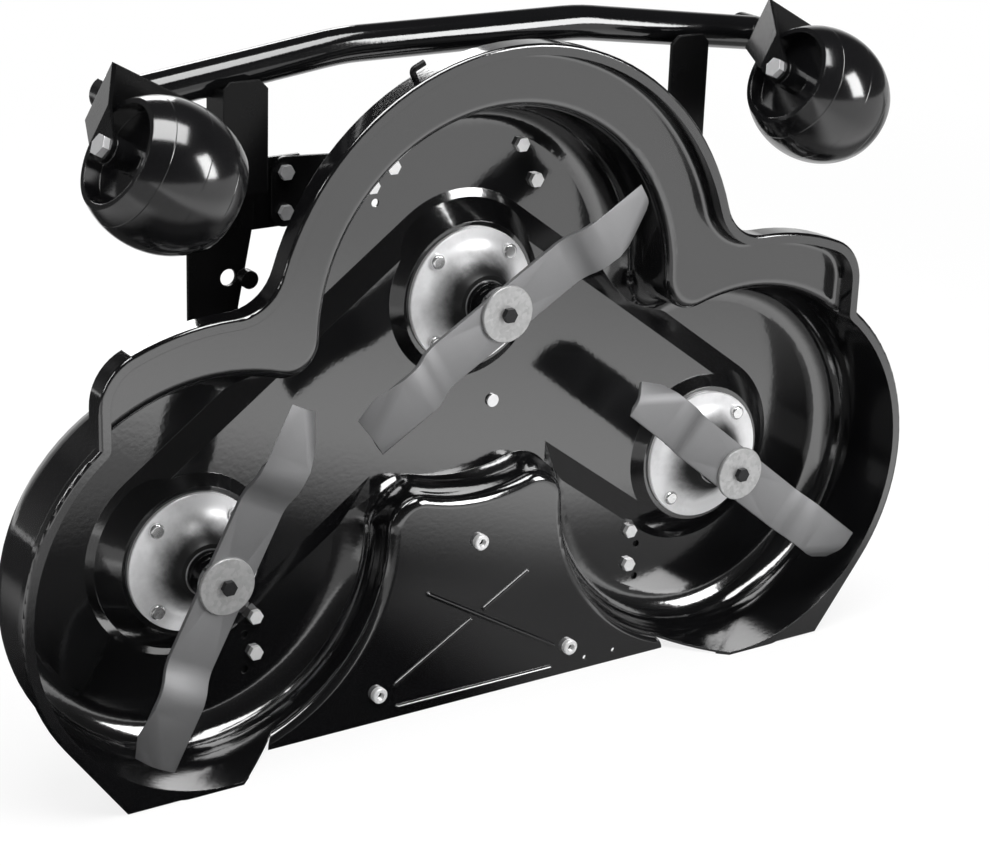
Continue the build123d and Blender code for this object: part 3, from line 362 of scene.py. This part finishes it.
def new_finish(name):
    """A fresh material and its nodes."""
    material = bpy.data.materials.new(name)
    material.use_nodes = True
    return material, Shader(material.node_tree)


def give(material, *nodes):
    """Puts a finish on solids of the frame."""
    for name in nodes:
        for slot in frame["nodes"][name].material_slots:
            slot.material = material


def slot_nodes(slot):
    """Names of the solids that have a finish in the record."""
    return [part["node"] for part in frame["record"]["subparts"] if part["material_slot"] == slot]


def finishes():
    """The colours of this scene."""
    return bpy.context.scene.deck_finishes


def details():
    """The small sizes of this scene."""
    return bpy.context.scene.deck_details


def blade_sizes():
    """The sizes of the blades of this scene."""
    return bpy.context.scene.deck_blade


def housing_sizes():
    """The sizes of the housings of this scene."""
    return bpy.context.scene.deck_housing


def studio():
    """The studio of this scene."""
    return bpy.context.scene.deck_studio


def gloss_paint(name, colour, gloss):
    """Stoved gloss paint: a wavy skin, cloudy gloss and softened edges."""
    material, nodes = new_finish(name)
    place = nodes.place()
    peel = nodes.noise(place, size=details().peel, detail=1.0)
    cloud = nodes.noise(place, size=0.09, detail=3.0)
    speck = nodes.ramp(nodes.noise(place, size=0.0016), [(0.0, 0.0), (0.68, 0.0), (0.78, 1.0)])
    edges = nodes.softened(details().edge)
    nodes.surface(
        {
            "Base Color": nodes.shade(colour, cloud, darkest=0.6),
            "Roughness": 0.06 + cloud * 0.07 + speck * 0.05,
            "IOR": gloss,
            "Normal": nodes.bump(peel, distance=0.00045, strength=0.1, normal=edges),
        }
    )
    return material


def satin_paint(name, colour):
    """Plain satin paint of the carrying frame, with a fine powder grain."""
    material, nodes = new_finish(name)
    place = nodes.place()
    grain = nodes.noise(place, size=0.0011)
    cloud = nodes.noise(place, size=0.05, detail=3.0)
    edges = nodes.softened(details().plate_edge)
    nodes.surface(
        {
            "Base Color": nodes.shade(colour, cloud, darkest=0.6),
            "Roughness": 0.2 + cloud * 0.08 + grain * 0.04,
            "IOR": 1.45,
            "Specular IOR Level": 0.25,
            "Normal": nodes.bump(grain, distance=0.0001, strength=0.3, normal=edges),
        }
    )
    return material


def satin_blade(name, colour):
    """Heat-treated blade steel: satin, with fine grain and faint scale."""
    material, nodes = new_finish(name)
    place = nodes.place()
    grain = nodes.noise(place, size=0.0007, detail=3.0, roughness=0.6)
    scale = nodes.noise(place, size=0.035, detail=4.0, roughness=0.55)
    edges = nodes.softened(radius=0.0009)
    nodes.surface(
        {
            "Base Color": nodes.shade(colour, scale * 0.5 + grain * 0.5, darkest=0.72),
            "Metallic": 0.75,
            "Roughness": 0.46 + scale * 0.12 + grain * 0.06,
            "Normal": nodes.bump(grain, distance=0.00012, strength=0.35, normal=edges),
        }
    )
    return material


def turned_casting(name, colour, joint):
    """Bright casting, turned about its spindle, cloudy, with a painted dark reflection in the hollow
    round the nose.
    """
    material, nodes = new_finish(name)
    place = nodes.place()
    sizes = housing_sizes()
    centre = JOINTS[joint]["pos_m"]
    flat = nodes.node(
        "ShaderNodeVectorMath",
        {"operation": "MULTIPLY_ADD"},
        {0: place, 1: (1.0, 0.0, 1.0), 2: (-centre[0], 0.0, -centre[2])},
    )
    radius = nodes.length(flat)
    lines = nodes.node(
        "ShaderNodeTexNoise",
        {"noise_dimensions": "1D"},
        {"W": radius, "Scale": 1.0 / details().turning},
    )
    cloud = nodes.noise(place, size=0.022, detail=4.0, roughness=0.6)
    blotch = nodes.noise(place, size=0.05, detail=5.0, roughness=0.65)
    stain = nodes.ramp(blotch, [(0.0, 0.55), (0.38, 0.88), (0.52, 1.0)])
    # Painted dark reflection: the colour darkens towards the nose, standing in for the dark that the
    # steep flare mirrors; the blotches are real stains.
    hollow = sizes.nose + 0.009
    ragged = radius + cloud * 0.012
    painted_dark_reflection = nodes.ease(ragged, start=hollow, end=sizes.flare, first=0.0, last=1.0)
    nodes.surface(
        {
            "Base Color": nodes.shade(colour, stain * painted_dark_reflection, darkest=0.03),
            "Metallic": 0.3,
            "Roughness": 0.28 + cloud * 0.12 + lines * 0.04,
            "Specular IOR Level": 0.3,
            "Normal": nodes.bump(lines * 0.4 + cloud * 0.6, distance=0.00012, strength=0.5),
        }
    )
    return material


def zinc_plate(name, colour, metal, gloss, mottle):
    """Zinc plating with small spangles and a thin haze."""
    material, nodes = new_finish(name)
    place = nodes.place()
    spangle = nodes.node("ShaderNodeTexVoronoi", None, {"Vector": place, "Scale": 260.0}, out="Color")
    tone = nodes.node("ShaderNodeSeparateColor", None, {"Color": spangle})
    haze = nodes.noise(place, size=0.006, detail=4.0, roughness=0.65)
    edges = nodes.softened(radius=0.0004)
    clean = 1.0 - (tone * 0.4 + haze * 0.6) * mottle
    nodes.surface(
        {
            "Base Color": nodes.shade(colour, clean, darkest=0.45),
            "Metallic": metal,
            "Roughness": gloss + haze * 0.12 + tone * 0.05,
            "Normal": nodes.bump(haze, distance=0.0001, strength=0.4, normal=edges),
        }
    )
    return material


def black_oxide(name, colour):
    """Blackened steel with a dull sheen and paler worn patches."""
    material, nodes = new_finish(name)
    place = nodes.place()
    worn = nodes.noise(place, size=0.004, detail=4.0, roughness=0.7)
    edges = nodes.softened(radius=0.0005)
    nodes.surface(
        {
            "Base Color": nodes.shade(colour, worn, darkest=0.4),
            "Metallic": 0.7,
            "Roughness": 0.34 + worn * 0.2,
            "Normal": nodes.bump(worn, distance=0.0001, strength=0.5, normal=edges),
        }
    )
    return material


def moulded_plastic(name, colour, joint):
    """Smooth moulded plastic with a mould line near each end and a fainter one round the middle."""
    material, nodes = new_finish(name)
    place = nodes.place()
    centre = Vector(JOINTS[joint]["pos_m"])
    axle = Vector(JOINTS[joint]["axis"]).normalized()
    along = nodes.node(
        "ShaderNodeVectorMath", {"operation": "DOT_PRODUCT"}, {0: place, 1: axle}, out="Value"
    )
    from_middle = abs(along - centre.dot(axle))
    from_line = abs(from_middle - details().mould_line)
    width = details().mould_width
    end_lines = nodes.ease(from_line, start=0.0, end=width, first=1.0, last=0.0)
    middle_line = nodes.ease(from_middle, start=0.0, end=width, first=0.35, last=0.0)
    cloud = nodes.noise(place, size=0.03, detail=3.0)
    grain = nodes.noise(place, size=0.0012)
    height = end_lines + middle_line + grain * 0.06
    edges = nodes.softened(radius=0.0012)
    nodes.surface(
        {
            "Base Color": nodes.shade(colour, cloud, darkest=0.7),
            "Roughness": 0.1 + cloud * 0.05 + grain * 0.02,
            "IOR": 1.8,
            "Normal": nodes.bump(height, distance=0.0006, strength=0.5, normal=edges),
        }
    )
    return material


def cord_rubber(name, colour):
    """Belt rubber with a woven back and chalky wear."""
    material, nodes = new_finish(name)
    place = nodes.place()
    weave = nodes.node(
        "ShaderNodeTexMagic", {"turbulence_depth": 1}, {"Vector": place, "Scale": 2600.0}, out="Fac"
    )
    chalk = nodes.noise(place, size=0.018, detail=4.0, roughness=0.6)
    nodes.surface(
        {
            "Base Color": nodes.shade(colour, chalk * 0.7 + weave * 0.3, darkest=0.45),
            "Roughness": 0.72 + chalk * 0.15,
            "Normal": nodes.bump(weave, distance=0.0002, strength=0.5),
        }
    )
    return material


class DECK_OT_painted(bpy.types.Operator):
    """Paints the shell, tube, hubs, arms, brackets, castor forks and hook"""

    bl_idname = "deck.painted"
    bl_label = "Painted Steel"

    def execute(self, context):
        give(gloss_paint("gloss_black", finishes().paint, gloss=2.3), *slot_nodes("black_paint"))
        give(gloss_paint("tube_black", finishes().paint, gloss=1.75), "front_tube")
        satin = satin_paint("satin_black", finishes().frame)
        for side in SIDES:
            give(satin, f"arm_{side}", f"bracket_{side}", f"castor_fork_{side}")
        give(satin, "cable_hook")
        return {"FINISHED"}


def alone(obj):
    """Selects one object, makes it the active one and deselects the others."""
    bpy.ops.object.select_all(action="DESELECT")
    obj.select_set(True)
    bpy.context.view_layer.objects.active = obj


def begin(obj):
    """Only this object is selected and in edit mode, with nothing of it selected."""
    alone(obj)
    bpy.ops.object.mode_set(mode="EDIT")
    bpy.ops.mesh.select_all(action="DESELECT")


def pick(obj, mode, test):
    """Selects the vertices, edges or faces whose middle passes a test, and nothing else."""
    bpy.ops.mesh.select_mode(type=mode)
    bpy.ops.mesh.select_all(action="DESELECT")
    bpy.ops.object.mode_set(mode="OBJECT")
    mesh = obj.data
    parts = {"VERT": mesh.vertices, "EDGE": mesh.edges, "FACE": mesh.polygons}[mode]
    for part in parts:
        if mode == "VERT":
            part.select = test(part.co)
        elif mode == "FACE":
            part.select = test(part.center)
        else:
            part.select = all(test(mesh.vertices[index].co) for index in part.vertices)
    bpy.ops.object.mode_set(mode="EDIT")


def apply_all(obj):
    """Applies the modifiers of an object in their order."""
    bpy.ops.object.mode_set(mode="OBJECT")
    for modifier in list(obj.modifiers):
        bpy.ops.object.modifier_apply(modifier=modifier.name)


def drilled(piece, spots, radius, sides):
    """Drills upright holes through a piece."""
    drills = []
    for spot in spots:
        bpy.ops.mesh.primitive_cylinder_add(
            vertices=sides, radius=radius, depth=DRILL_DEPTH, location=spot
        )
        drills.append(bpy.context.object)
    alone(piece)
    for drill in drills:
        hole = piece.modifiers.new("hole", "BOOLEAN")
        hole.object = drill
        hole.solver = "EXACT"
    apply_all(piece)
    for drill in drills:
        bpy.data.objects.remove(drill)


def blade_wing(obj, sign):
    """Draws one wing out of the strip: slope, flat and folded sail."""
    sizes = blade_sizes()
    half = sizes.width / 2
    tip = math.sqrt((sizes.length / 2) ** 2 - half**2)
    crank_end = sizes.crank_start + sizes.crank_run
    steps = (
        (sizes.crank_run, sizes.drop),
        (sizes.sail_start - crank_end, 0.0),
        (tip - sizes.sail_start, 0.0),
    )
    pick(obj, "EDGE", lambda co: co.x * sign > sizes.crank_start - NEAR)
    for step, rise in steps:
        move = {"value": (sign * step, 0.0, rise)}
        bpy.ops.mesh.extrude_region_move(TRANSFORM_OT_translate=move)
    start = Vector((sign * sizes.sail_start, -sign * half, sizes.drop))
    end = Vector((sign * tip, sign * sizes.sail_side, sizes.drop))
    along = (end - start).normalized()
    across = Vector((sign * abs(along.y), -sign * abs(along.x), 0.0))
    pick(obj, "FACE", lambda co: co.x * sign > sizes.sail_start)
    bpy.ops.mesh.bisect(plane_co=start, plane_no=across, threshold=NEAR)
    pick(obj, "FACE", lambda co: (co - start).dot(across) > NEAR and co.x * sign > sizes.sail_start)
    bpy.ops.mesh.delete(type="FACE")

    def on_fold(co):
        beyond = co.x * sign > sizes.sail_start - NEAR and co.z > sizes.drop / 2
        return beyond and abs((co - start).dot(across)) < NEAR

    pick(obj, "EDGE", on_fold)
    up = across * math.cos(sizes.sail_angle) - Vector((0.0, 0.0, math.sin(sizes.sail_angle)))
    bpy.ops.mesh.extrude_region_move(TRANSFORM_OT_translate={"value": up * sizes.sail_inner[1]})
    first = start + up * sizes.sail_inner[1]
    last = end + up * sizes.sail_inner[1]
    pick(obj, "VERT", lambda co: (co - first).length < NEAR)
    bpy.ops.transform.translate(value=along * sizes.sail_inner[0])
    pick(obj, "VERT", lambda co: (co - last).length < NEAR)
    goal = start + along * sizes.sail_outer[0] + up * sizes.sail_outer[1]
    bpy.ops.transform.translate(value=goal - last)
    pick(obj, "EDGE", on_fold)
    bpy.ops.mesh.bevel(offset=sizes.sail_round, segments=5)


def blade_pattern():
    """One blade about the origin: cranked strip, folded sails, ground edges and a bolt hole."""
    sizes = blade_sizes()
    half = sizes.width / 2
    crank_end = sizes.crank_start + sizes.crank_run
    ground = crank_end + sizes.crank_run
    bpy.ops.object.select_all(action="DESELECT")
    bpy.ops.mesh.primitive_plane_add(size=1.0, location=(0.0, 0.0, 0.0))
    blade = bpy.context.object
    blade.scale = (2 * sizes.crank_start, sizes.width, 1.0)
    bpy.ops.object.transform_apply(location=False, rotation=False, scale=True)
    begin(blade)
    blade_wing(blade, 1)
    blade_wing(blade, -1)
    for reach, level in ((sizes.crank_start, 0.0), (crank_end, sizes.drop)):
        pick(blade, "EDGE", lambda co: abs(abs(co.x) - reach) < NEAR and abs(co.z - level) < NEAR)
        bpy.ops.mesh.bevel(offset=sizes.crank_round, segments=6)
    bpy.ops.mesh.select_all(action="SELECT")
    bpy.ops.mesh.remove_doubles(threshold=NEAR / 2)
    bpy.ops.mesh.normals_make_consistent(inside=False)
    bpy.ops.object.mode_set(mode="OBJECT")
    wall = blade.modifiers.new("wall", "SOLIDIFY")
    wall.thickness = sizes.thick
    wall.offset = 0.0
    wall.use_even_offset = True
    apply_all(blade)
    begin(blade)
    bpy.ops.mesh.select_all(action="SELECT")
    bpy.ops.mesh.normals_make_consistent(inside=False)
    for sign in (1, -1):
        pick(
            blade,
            "VERT",
            lambda co: co.x * sign > ground - NEAR and co.y * sign > half - NEAR and co.z < sizes.drop,
        )
        bpy.ops.transform.translate(value=(0.0, -sign * sizes.bevel, 0.0))
    bpy.ops.object.mode_set(mode="OBJECT")
    drilled(blade, [(0.0, 0.0, 0.0)], sizes.hole, sides=32)
    rounding = blade.modifiers.new("rounding", "BEVEL")
    rounding.width = sizes.edge
    rounding.segments = 2
    rounding.limit_method = "ANGLE"
    rounding.angle_limit = ROUND_ANGLE
    apply_all(blade)
    bpy.ops.object.shade_smooth_by_angle(angle=SMOOTH_ANGLE)
    return blade


def placed_copy(pattern, name, place):
    """A copy of a pattern with its own mesh, its place put into the mesh."""
    piece = pattern.copy()
    piece.data = pattern.data.copy()
    piece.name = name
    bpy.context.collection.objects.link(piece)
    alone(piece)
    piece.matrix_world = place
    bpy.ops.object.transform_apply(location=True, rotation=True, scale=True)
    return piece


def on_spindle(side, depth=0.0, turn=0.0):
    """Place on a spindle's axis at a depth under the lip, facing the ground, turned about the axis."""
    axis = JOINTS[f"blade_spin_{side}"]["pos_m"]
    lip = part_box("deck_shell")[0][1]
    spot = Matrix.Translation((axis[0], lip + depth, axis[2]))
    return spot @ Matrix.Rotation(QUARTER_TURN, 4, "X") @ Matrix.Rotation(turn, 4, "Z")


class DECK_OT_blades(bpy.types.Operator):
    """Bends the cutting blades from one pattern, in satin steel"""

    bl_idname = "deck.blades"
    bl_label = "Blades"

    def execute(self, context):
        steel = satin_blade("satin_steel", finishes().blade)
        pattern = blade_pattern()
        sizes = blade_sizes()
        turns = {"left": sizes.turn_left, "centre": sizes.turn_centre, "right": sizes.turn_right}
        for side in SPINDLES:
            place = on_spindle(side, sizes.middle, turns[side])
            piece = placed_copy(pattern, f"cutting_blade_{side}", place)
            piece.data.materials.append(steel)
            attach(piece, f"spindle_{side}")
            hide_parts(f"blade_{side}")
        bpy.data.objects.remove(pattern)
        return {"FINISHED"}


def housing_profile():
    """Radius and depth round the housing's section, from the bore over nose and flange to the top."""
    sizes = housing_sizes()
    cut = sizes.chamfer
    flare_start = sizes.nose_depth + cut
    points = [(sizes.bore, sizes.nose_depth), (sizes.nose - cut, sizes.nose_depth)]
    for step in range(FLARE_STEPS + 1):
        inward = 1.0 - step / FLARE_STEPS
        radius = sizes.flare - (sizes.flare - sizes.nose) * inward
        depth = sizes.face_depth - (sizes.face_depth - flare_start) * inward**2
        points.append((radius, depth))
    points += [
        (sizes.flange - cut, sizes.face_depth),
        (sizes.flange, sizes.face_depth + cut),
        (sizes.flange, sizes.seat_depth),
        (sizes.body, sizes.seat_depth),
        (sizes.body, sizes.top_depth - cut),
        (sizes.body - cut, sizes.top_depth),
        (sizes.bore, sizes.top_depth),
    ]
    return points


def housing_pattern():
    """One housing about the origin: a ring drawn round its section, with its bolt holes drilled."""
    sizes = housing_sizes()
    points = housing_profile()
    bore, nose_depth = points[0]
    bpy.ops.object.select_all(action="DESELECT")
    bpy.ops.mesh.primitive_circle_add(vertices=96, radius=bore, location=(0.0, 0.0, -nose_depth))
    housing = bpy.context.object
    bpy.ops.object.transform_apply(location=True, rotation=False, scale=False)
    begin(housing)
    bpy.ops.mesh.select_all(action="SELECT")
    for (radius, depth), (next_radius, next_depth) in zip(points, points[1:] + points[:1]):
        move = {"value": (0.0, 0.0, depth - next_depth)}
        bpy.ops.mesh.extrude_region_move(TRANSFORM_OT_translate=move)
        wider = next_radius / radius
        bpy.ops.transform.resize(value=(wider, wider, 1.0), center_override=(0.0, 0.0, -next_depth))
    bpy.ops.mesh.select_all(action="SELECT")
    bpy.ops.mesh.remove_doubles(threshold=MERGE)
    bpy.ops.mesh.normals_make_consistent(inside=False)
    bpy.ops.object.mode_set(mode="OBJECT")
    circle = sizes.bolt_circle
    spots = [
        (circle * math.cos(turn), circle * math.sin(turn), -sizes.seat_depth) for turn in BOLT_TURNS
    ]
    drilled(housing, spots, sizes.bolt_hole, sides=24)
    bpy.ops.object.shade_smooth_by_angle(angle=SMOOTH_ANGLE)
    return housing


class DECK_OT_housings(bpy.types.Operator):
    """Draws the spindle housings from one pattern, as bright turned castings"""

    bl_idname = "deck.housings"
    bl_label = "Spindle Housings"

    def execute(self, context):
        pattern = housing_pattern()
        for side in SPINDLES:
            piece = placed_copy(pattern, f"housing_{side}", on_spindle(side))
            casting = turned_casting(f"turned_casting_{side}", finishes().casting, f"blade_spin_{side}")
            piece.data.materials.append(casting)
            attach(piece, "deck")
            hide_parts(f"spindle_housing_{side}")
        bpy.data.objects.remove(pattern)
        return {"FINISHED"}


class DECK_OT_fasteners(bpy.types.Operator):
    """Plates the bolts, nuts, washers, shafts and pulleys, and blackens the blade bolts"""

    bl_idname = "deck.fasteners"
    bl_label = "Fasteners"

    def execute(self, context):
        plating = finishes().plating
        bright = finishes().insert
        zinc = zinc_plate("zinc_plating", plating, metal=0.65, gloss=0.14, mottle=0.3)
        insert = zinc_plate("insert_plating", bright, metal=0.5, gloss=0.3, mottle=0.15)
        dome = zinc_plate("dome_plating", bright, metal=0.8, gloss=0.08, mottle=0.2)
        washer = zinc_plate("washer_plating", finishes().washer, metal=0.65, gloss=0.34, mottle=0.75)
        oxide = black_oxide("black_oxide", finishes().oxide)
        give(zinc, *slot_nodes("plated_steel"))
        give(insert, "panel_nuts", "roof_bolts")
        give(dome, "housing_bolts")
        for side in SPINDLES:
            give(washer, f"blade_washer_{side}")
            give(oxide, f"blade_bolt_{side}")
        return {"FINISHED"}


class DECK_OT_wheels(bpy.types.Operator):
    """Gives each castor wheel its moulded plastic"""

    bl_idname = "deck.wheels"
    bl_label = "Castor Wheels"

    def execute(self, context):
        for side in SIDES:
            name = f"moulded_plastic_{side}"
            plastic = moulded_plastic(name, finishes().plastic, f"wheel_spin_{side}")
            give(plastic, f"wheel_{side}")
        return {"FINISHED"}


class DECK_OT_belt(bpy.types.Operator):
    """Gives the drive belt its rubber"""

    bl_idname = "deck.belt"
    bl_label = "Drive Belt"

    def execute(self, context):
        give(cord_rubber("belt_cord", finishes().rubber), *slot_nodes("belt_rubber"))
        return {"FINISHED"}


def floor_glow(nodes, place):
    """How bright the floor looks in gloss: painted shade near the deck, with painted pools of light
    round it.
    """
    across = nodes.axis(place, "X")
    depth = nodes.axis(place, "Y")
    along = abs(depth)
    away = across * 0.8 + along * 0.6
    near = studio().pool_near
    far = studio().pool_far
    # The main pool lies to the right, in front of the deck and behind it, and fades outwards.
    lit = nodes.ease(away, start=near, end=far, first=0.05, last=1.1)
    clear = nodes.ease(along, start=0.15, end=0.34, first=0.1, last=1.0)
    fading = nodes.ease(away, start=far, end=studio().pool_end, first=1.0, last=0.68)
    main_pool = lit * clear * fading
    # A dimmer one lies farther out in front.
    front_pool = nodes.ease(depth, start=-0.62, end=-0.38, first=0.4, last=0.0)
    # One lies to the left, beside the deck.
    left = nodes.ease(across, start=-1.0, end=-0.6, first=0.7, last=0.0)
    narrow = nodes.ease(along, start=0.4, end=0.9, first=1.0, last=0.0)
    # A faint one lies under the right half, close to the deck.
    beside = nodes.ease(across, start=-0.03, end=0.12, first=0.0, last=0.16)
    close = nodes.ease(along, start=0.2, end=0.36, first=1.0, last=0.0)
    return main_pool.at_least(front_pool) + left * narrow + beside * close


def pale_floor(name):
    """Pale floor that looks white to the eye, has painted pools of light and shade in gloss and keeps
    shadows.
    """
    material, nodes = new_finish(name)
    place = nodes.place()
    seen = nodes.ray("Is Camera Ray")
    mirrored = nodes.ray("Is Glossy Ray")
    through = nodes.ray("Is Transmission Ray")
    plain = nodes.ease(nodes.length(place), start=0.9, end=3.0, first=studio().floor_white, last=1.0)
    share = (seen * plain + mirrored + through).at_most(1.0)
    # In glossy rays the floor's emission carries the painted pools of light and the painted shade near
    # the deck.
    grey = seen + (1.0 - seen) * floor_glow(nodes, place)
    colour = nodes.shade(studio().floor_colour, nodes.noise(place, size=0.6), darkest=0.985)
    matt = nodes.node("ShaderNodeBsdfDiffuse", None, {"Color": colour})
    white = nodes.node("ShaderNodeEmission", None, {"Color": grey})
    mixed = nodes.node("ShaderNodeMixShader", None, {"Fac": share, 1: matt, 2: white})
    nodes.node("ShaderNodeOutputMaterial", None, {"Surface": mixed})
    return material


def aimed(obj, target):
    """Turns a lamp or camera towards a point."""
    obj.rotation_mode = "QUATERNION"
    obj.rotation_quaternion = (Vector(target) - obj.location).to_track_quat("-Z", "Y")


def softbox(name, place, target, size, power):
    """A soft rectangular lamp with its width and height in metres and its power in watts."""
    bpy.ops.object.light_add(type="AREA", location=place)
    lamp = bpy.context.object
    lamp.name = name
    lamp.data.shape = "RECTANGLE"
    lamp.data.size = size[0]
    lamp.data.size_y = size[1]
    lamp.data.energy = power
    aimed(lamp, target)


def even_world():
    """White to the eye, soft even light from all round, and a dim room with a white wall in gloss."""
    world = bpy.context.scene.world or bpy.data.worlds.new("studio_world")
    bpy.context.scene.world = world
    world.use_nodes = True
    nodes = Shader(world.node_tree)
    mirrored = nodes.ray("Is Glossy Ray")
    shown = (nodes.ray("Is Camera Ray") + nodes.ray("Is Transmission Ray")).at_most(1.0)
    direction = nodes.node("ShaderNodeTexCoord", out="Generated")
    height = nodes.axis(direction, "Z")
    room = nodes.ramp(height, [(0.0, 0.09), (0.2, 0.04), (0.6, 0.02)])
    behind = nodes.ramp(nodes.axis(direction, "Y"), [(0.0, 0.0), (0.45, 0.0), (0.75, 1.0)])
    low = nodes.ramp(height, [(0.1, 1.0), (0.5, 0.0)])
    right = nodes.ramp(nodes.axis(direction, "X") + 0.5, [(0.12, 0.04), (0.45, 1.0)])
    wall = behind * low * right
    grey = shown + (1.0 - shown) * (mirrored * (room + wall) + (1.0 - mirrored) * studio().sky)
    light = nodes.node("ShaderNodeBackground", None, {"Color": grey})
    nodes.node("ShaderNodeOutputWorld", None, {"Surface": light})


class DECK_OT_stage(bpy.types.Operator):
    """Sets up the floor, the lamps, the world and the camera"""

    bl_idname = "deck.stage"
    bl_label = "Stage"

    def execute(self, context):
        bpy.ops.object.select_all(action="DESELECT")
        bpy.ops.mesh.primitive_plane_add(size=studio().floor_size, location=(0.0, 0.0, 0.0))
        floor = context.object
        floor.name = "floor"
        floor.data.materials.append(pale_floor("pale_floor"))
        softbox("lamp_above", (-0.2, -0.5, 2.6), target=(0.0, 0.0, 0.3), size=(2.2, 1.3), power=66.0)
        softbox("lamp_front", (1.9, -2.4, 1.5), target=(0.1, 0.0, 0.3), size=(1.0, 1.6), power=56.0)
        softbox("lamp_left", (-2.3, -0.2, 1.6), target=(0.0, 0.0, 0.35), size=(0.5, 1.4), power=12.0)
        softbox("lamp_back", (0.5, 2.6, 1.7), target=(0.0, 0.1, 0.35), size=(1.6, 1.0), power=30.0)
        even_world()
        bpy.ops.object.camera_add(location=studio().camera_place)
        camera = context.object
        camera.name = "photo_camera"
        aimed(camera, studio().camera_aim)
        camera.rotation_quaternion @= Quaternion((0.0, 0.0, 1.0), studio().camera_roll)
        camera.data.sensor_width = 36.0
        camera.data.lens = studio().camera_lens
        context.scene.camera = camera
        context.scene.view_settings.view_transform = "Standard"
        return {"FINISHED"}


class DECK_PT_panel(bpy.types.Panel):
    """Lists the deck's operators and settings"""

    bl_idname = "DECK_PT_panel"
    bl_label = "Mower Deck"
    bl_space_type = "VIEW_3D"
    bl_region_type = "UI"
    bl_category = "Mower Deck"

    def draw(self, context):
        layout = self.layout
        for operator in OPERATORS:
            layout.operator(operator.bl_idname)
        for group_name in GROUPS:
            group = getattr(context.scene, group_name)
            box = layout.box()
            for name in group.__annotations__:
                box.prop(group, name)


GROUPS = {
    "deck_finishes": DeckFinishes,
    "deck_details": DeckDetails,
    "deck_blade": DeckBlade,
    "deck_housing": DeckHousing,
    "deck_studio": DeckStudio,
}
OPERATORS = (
    DECK_OT_fasteners,
    DECK_OT_painted,
    DECK_OT_blades,
    DECK_OT_housings,
    DECK_OT_wheels,
    DECK_OT_belt,
    DECK_OT_stage,
)
CLASSES = (*GROUPS.values(), *OPERATORS, DECK_PT_panel)


def register():
    """Registers the add-on's classes and settings."""
    for item in CLASSES:
        bpy.utils.register_class(item)
    for name, group in GROUPS.items():
        setattr(bpy.types.Scene, name, PointerProperty(type=group))


def unregister():
    """Takes the add-on's classes and settings away."""
    for name in GROUPS:
        delattr(bpy.types.Scene, name)
    for item in reversed(CLASSES):
        bpy.utils.unregister_class(item)


def main():
    """Dresses the deck and sets the stage."""
    register()
    bpy.ops.deck.fasteners()
    bpy.ops.deck.painted()
    bpy.ops.deck.blades()
    bpy.ops.deck.housings()
    bpy.ops.deck.wheels()
    bpy.ops.deck.belt()
    bpy.ops.deck.stage()


if __name__ == "__main__":
    main()
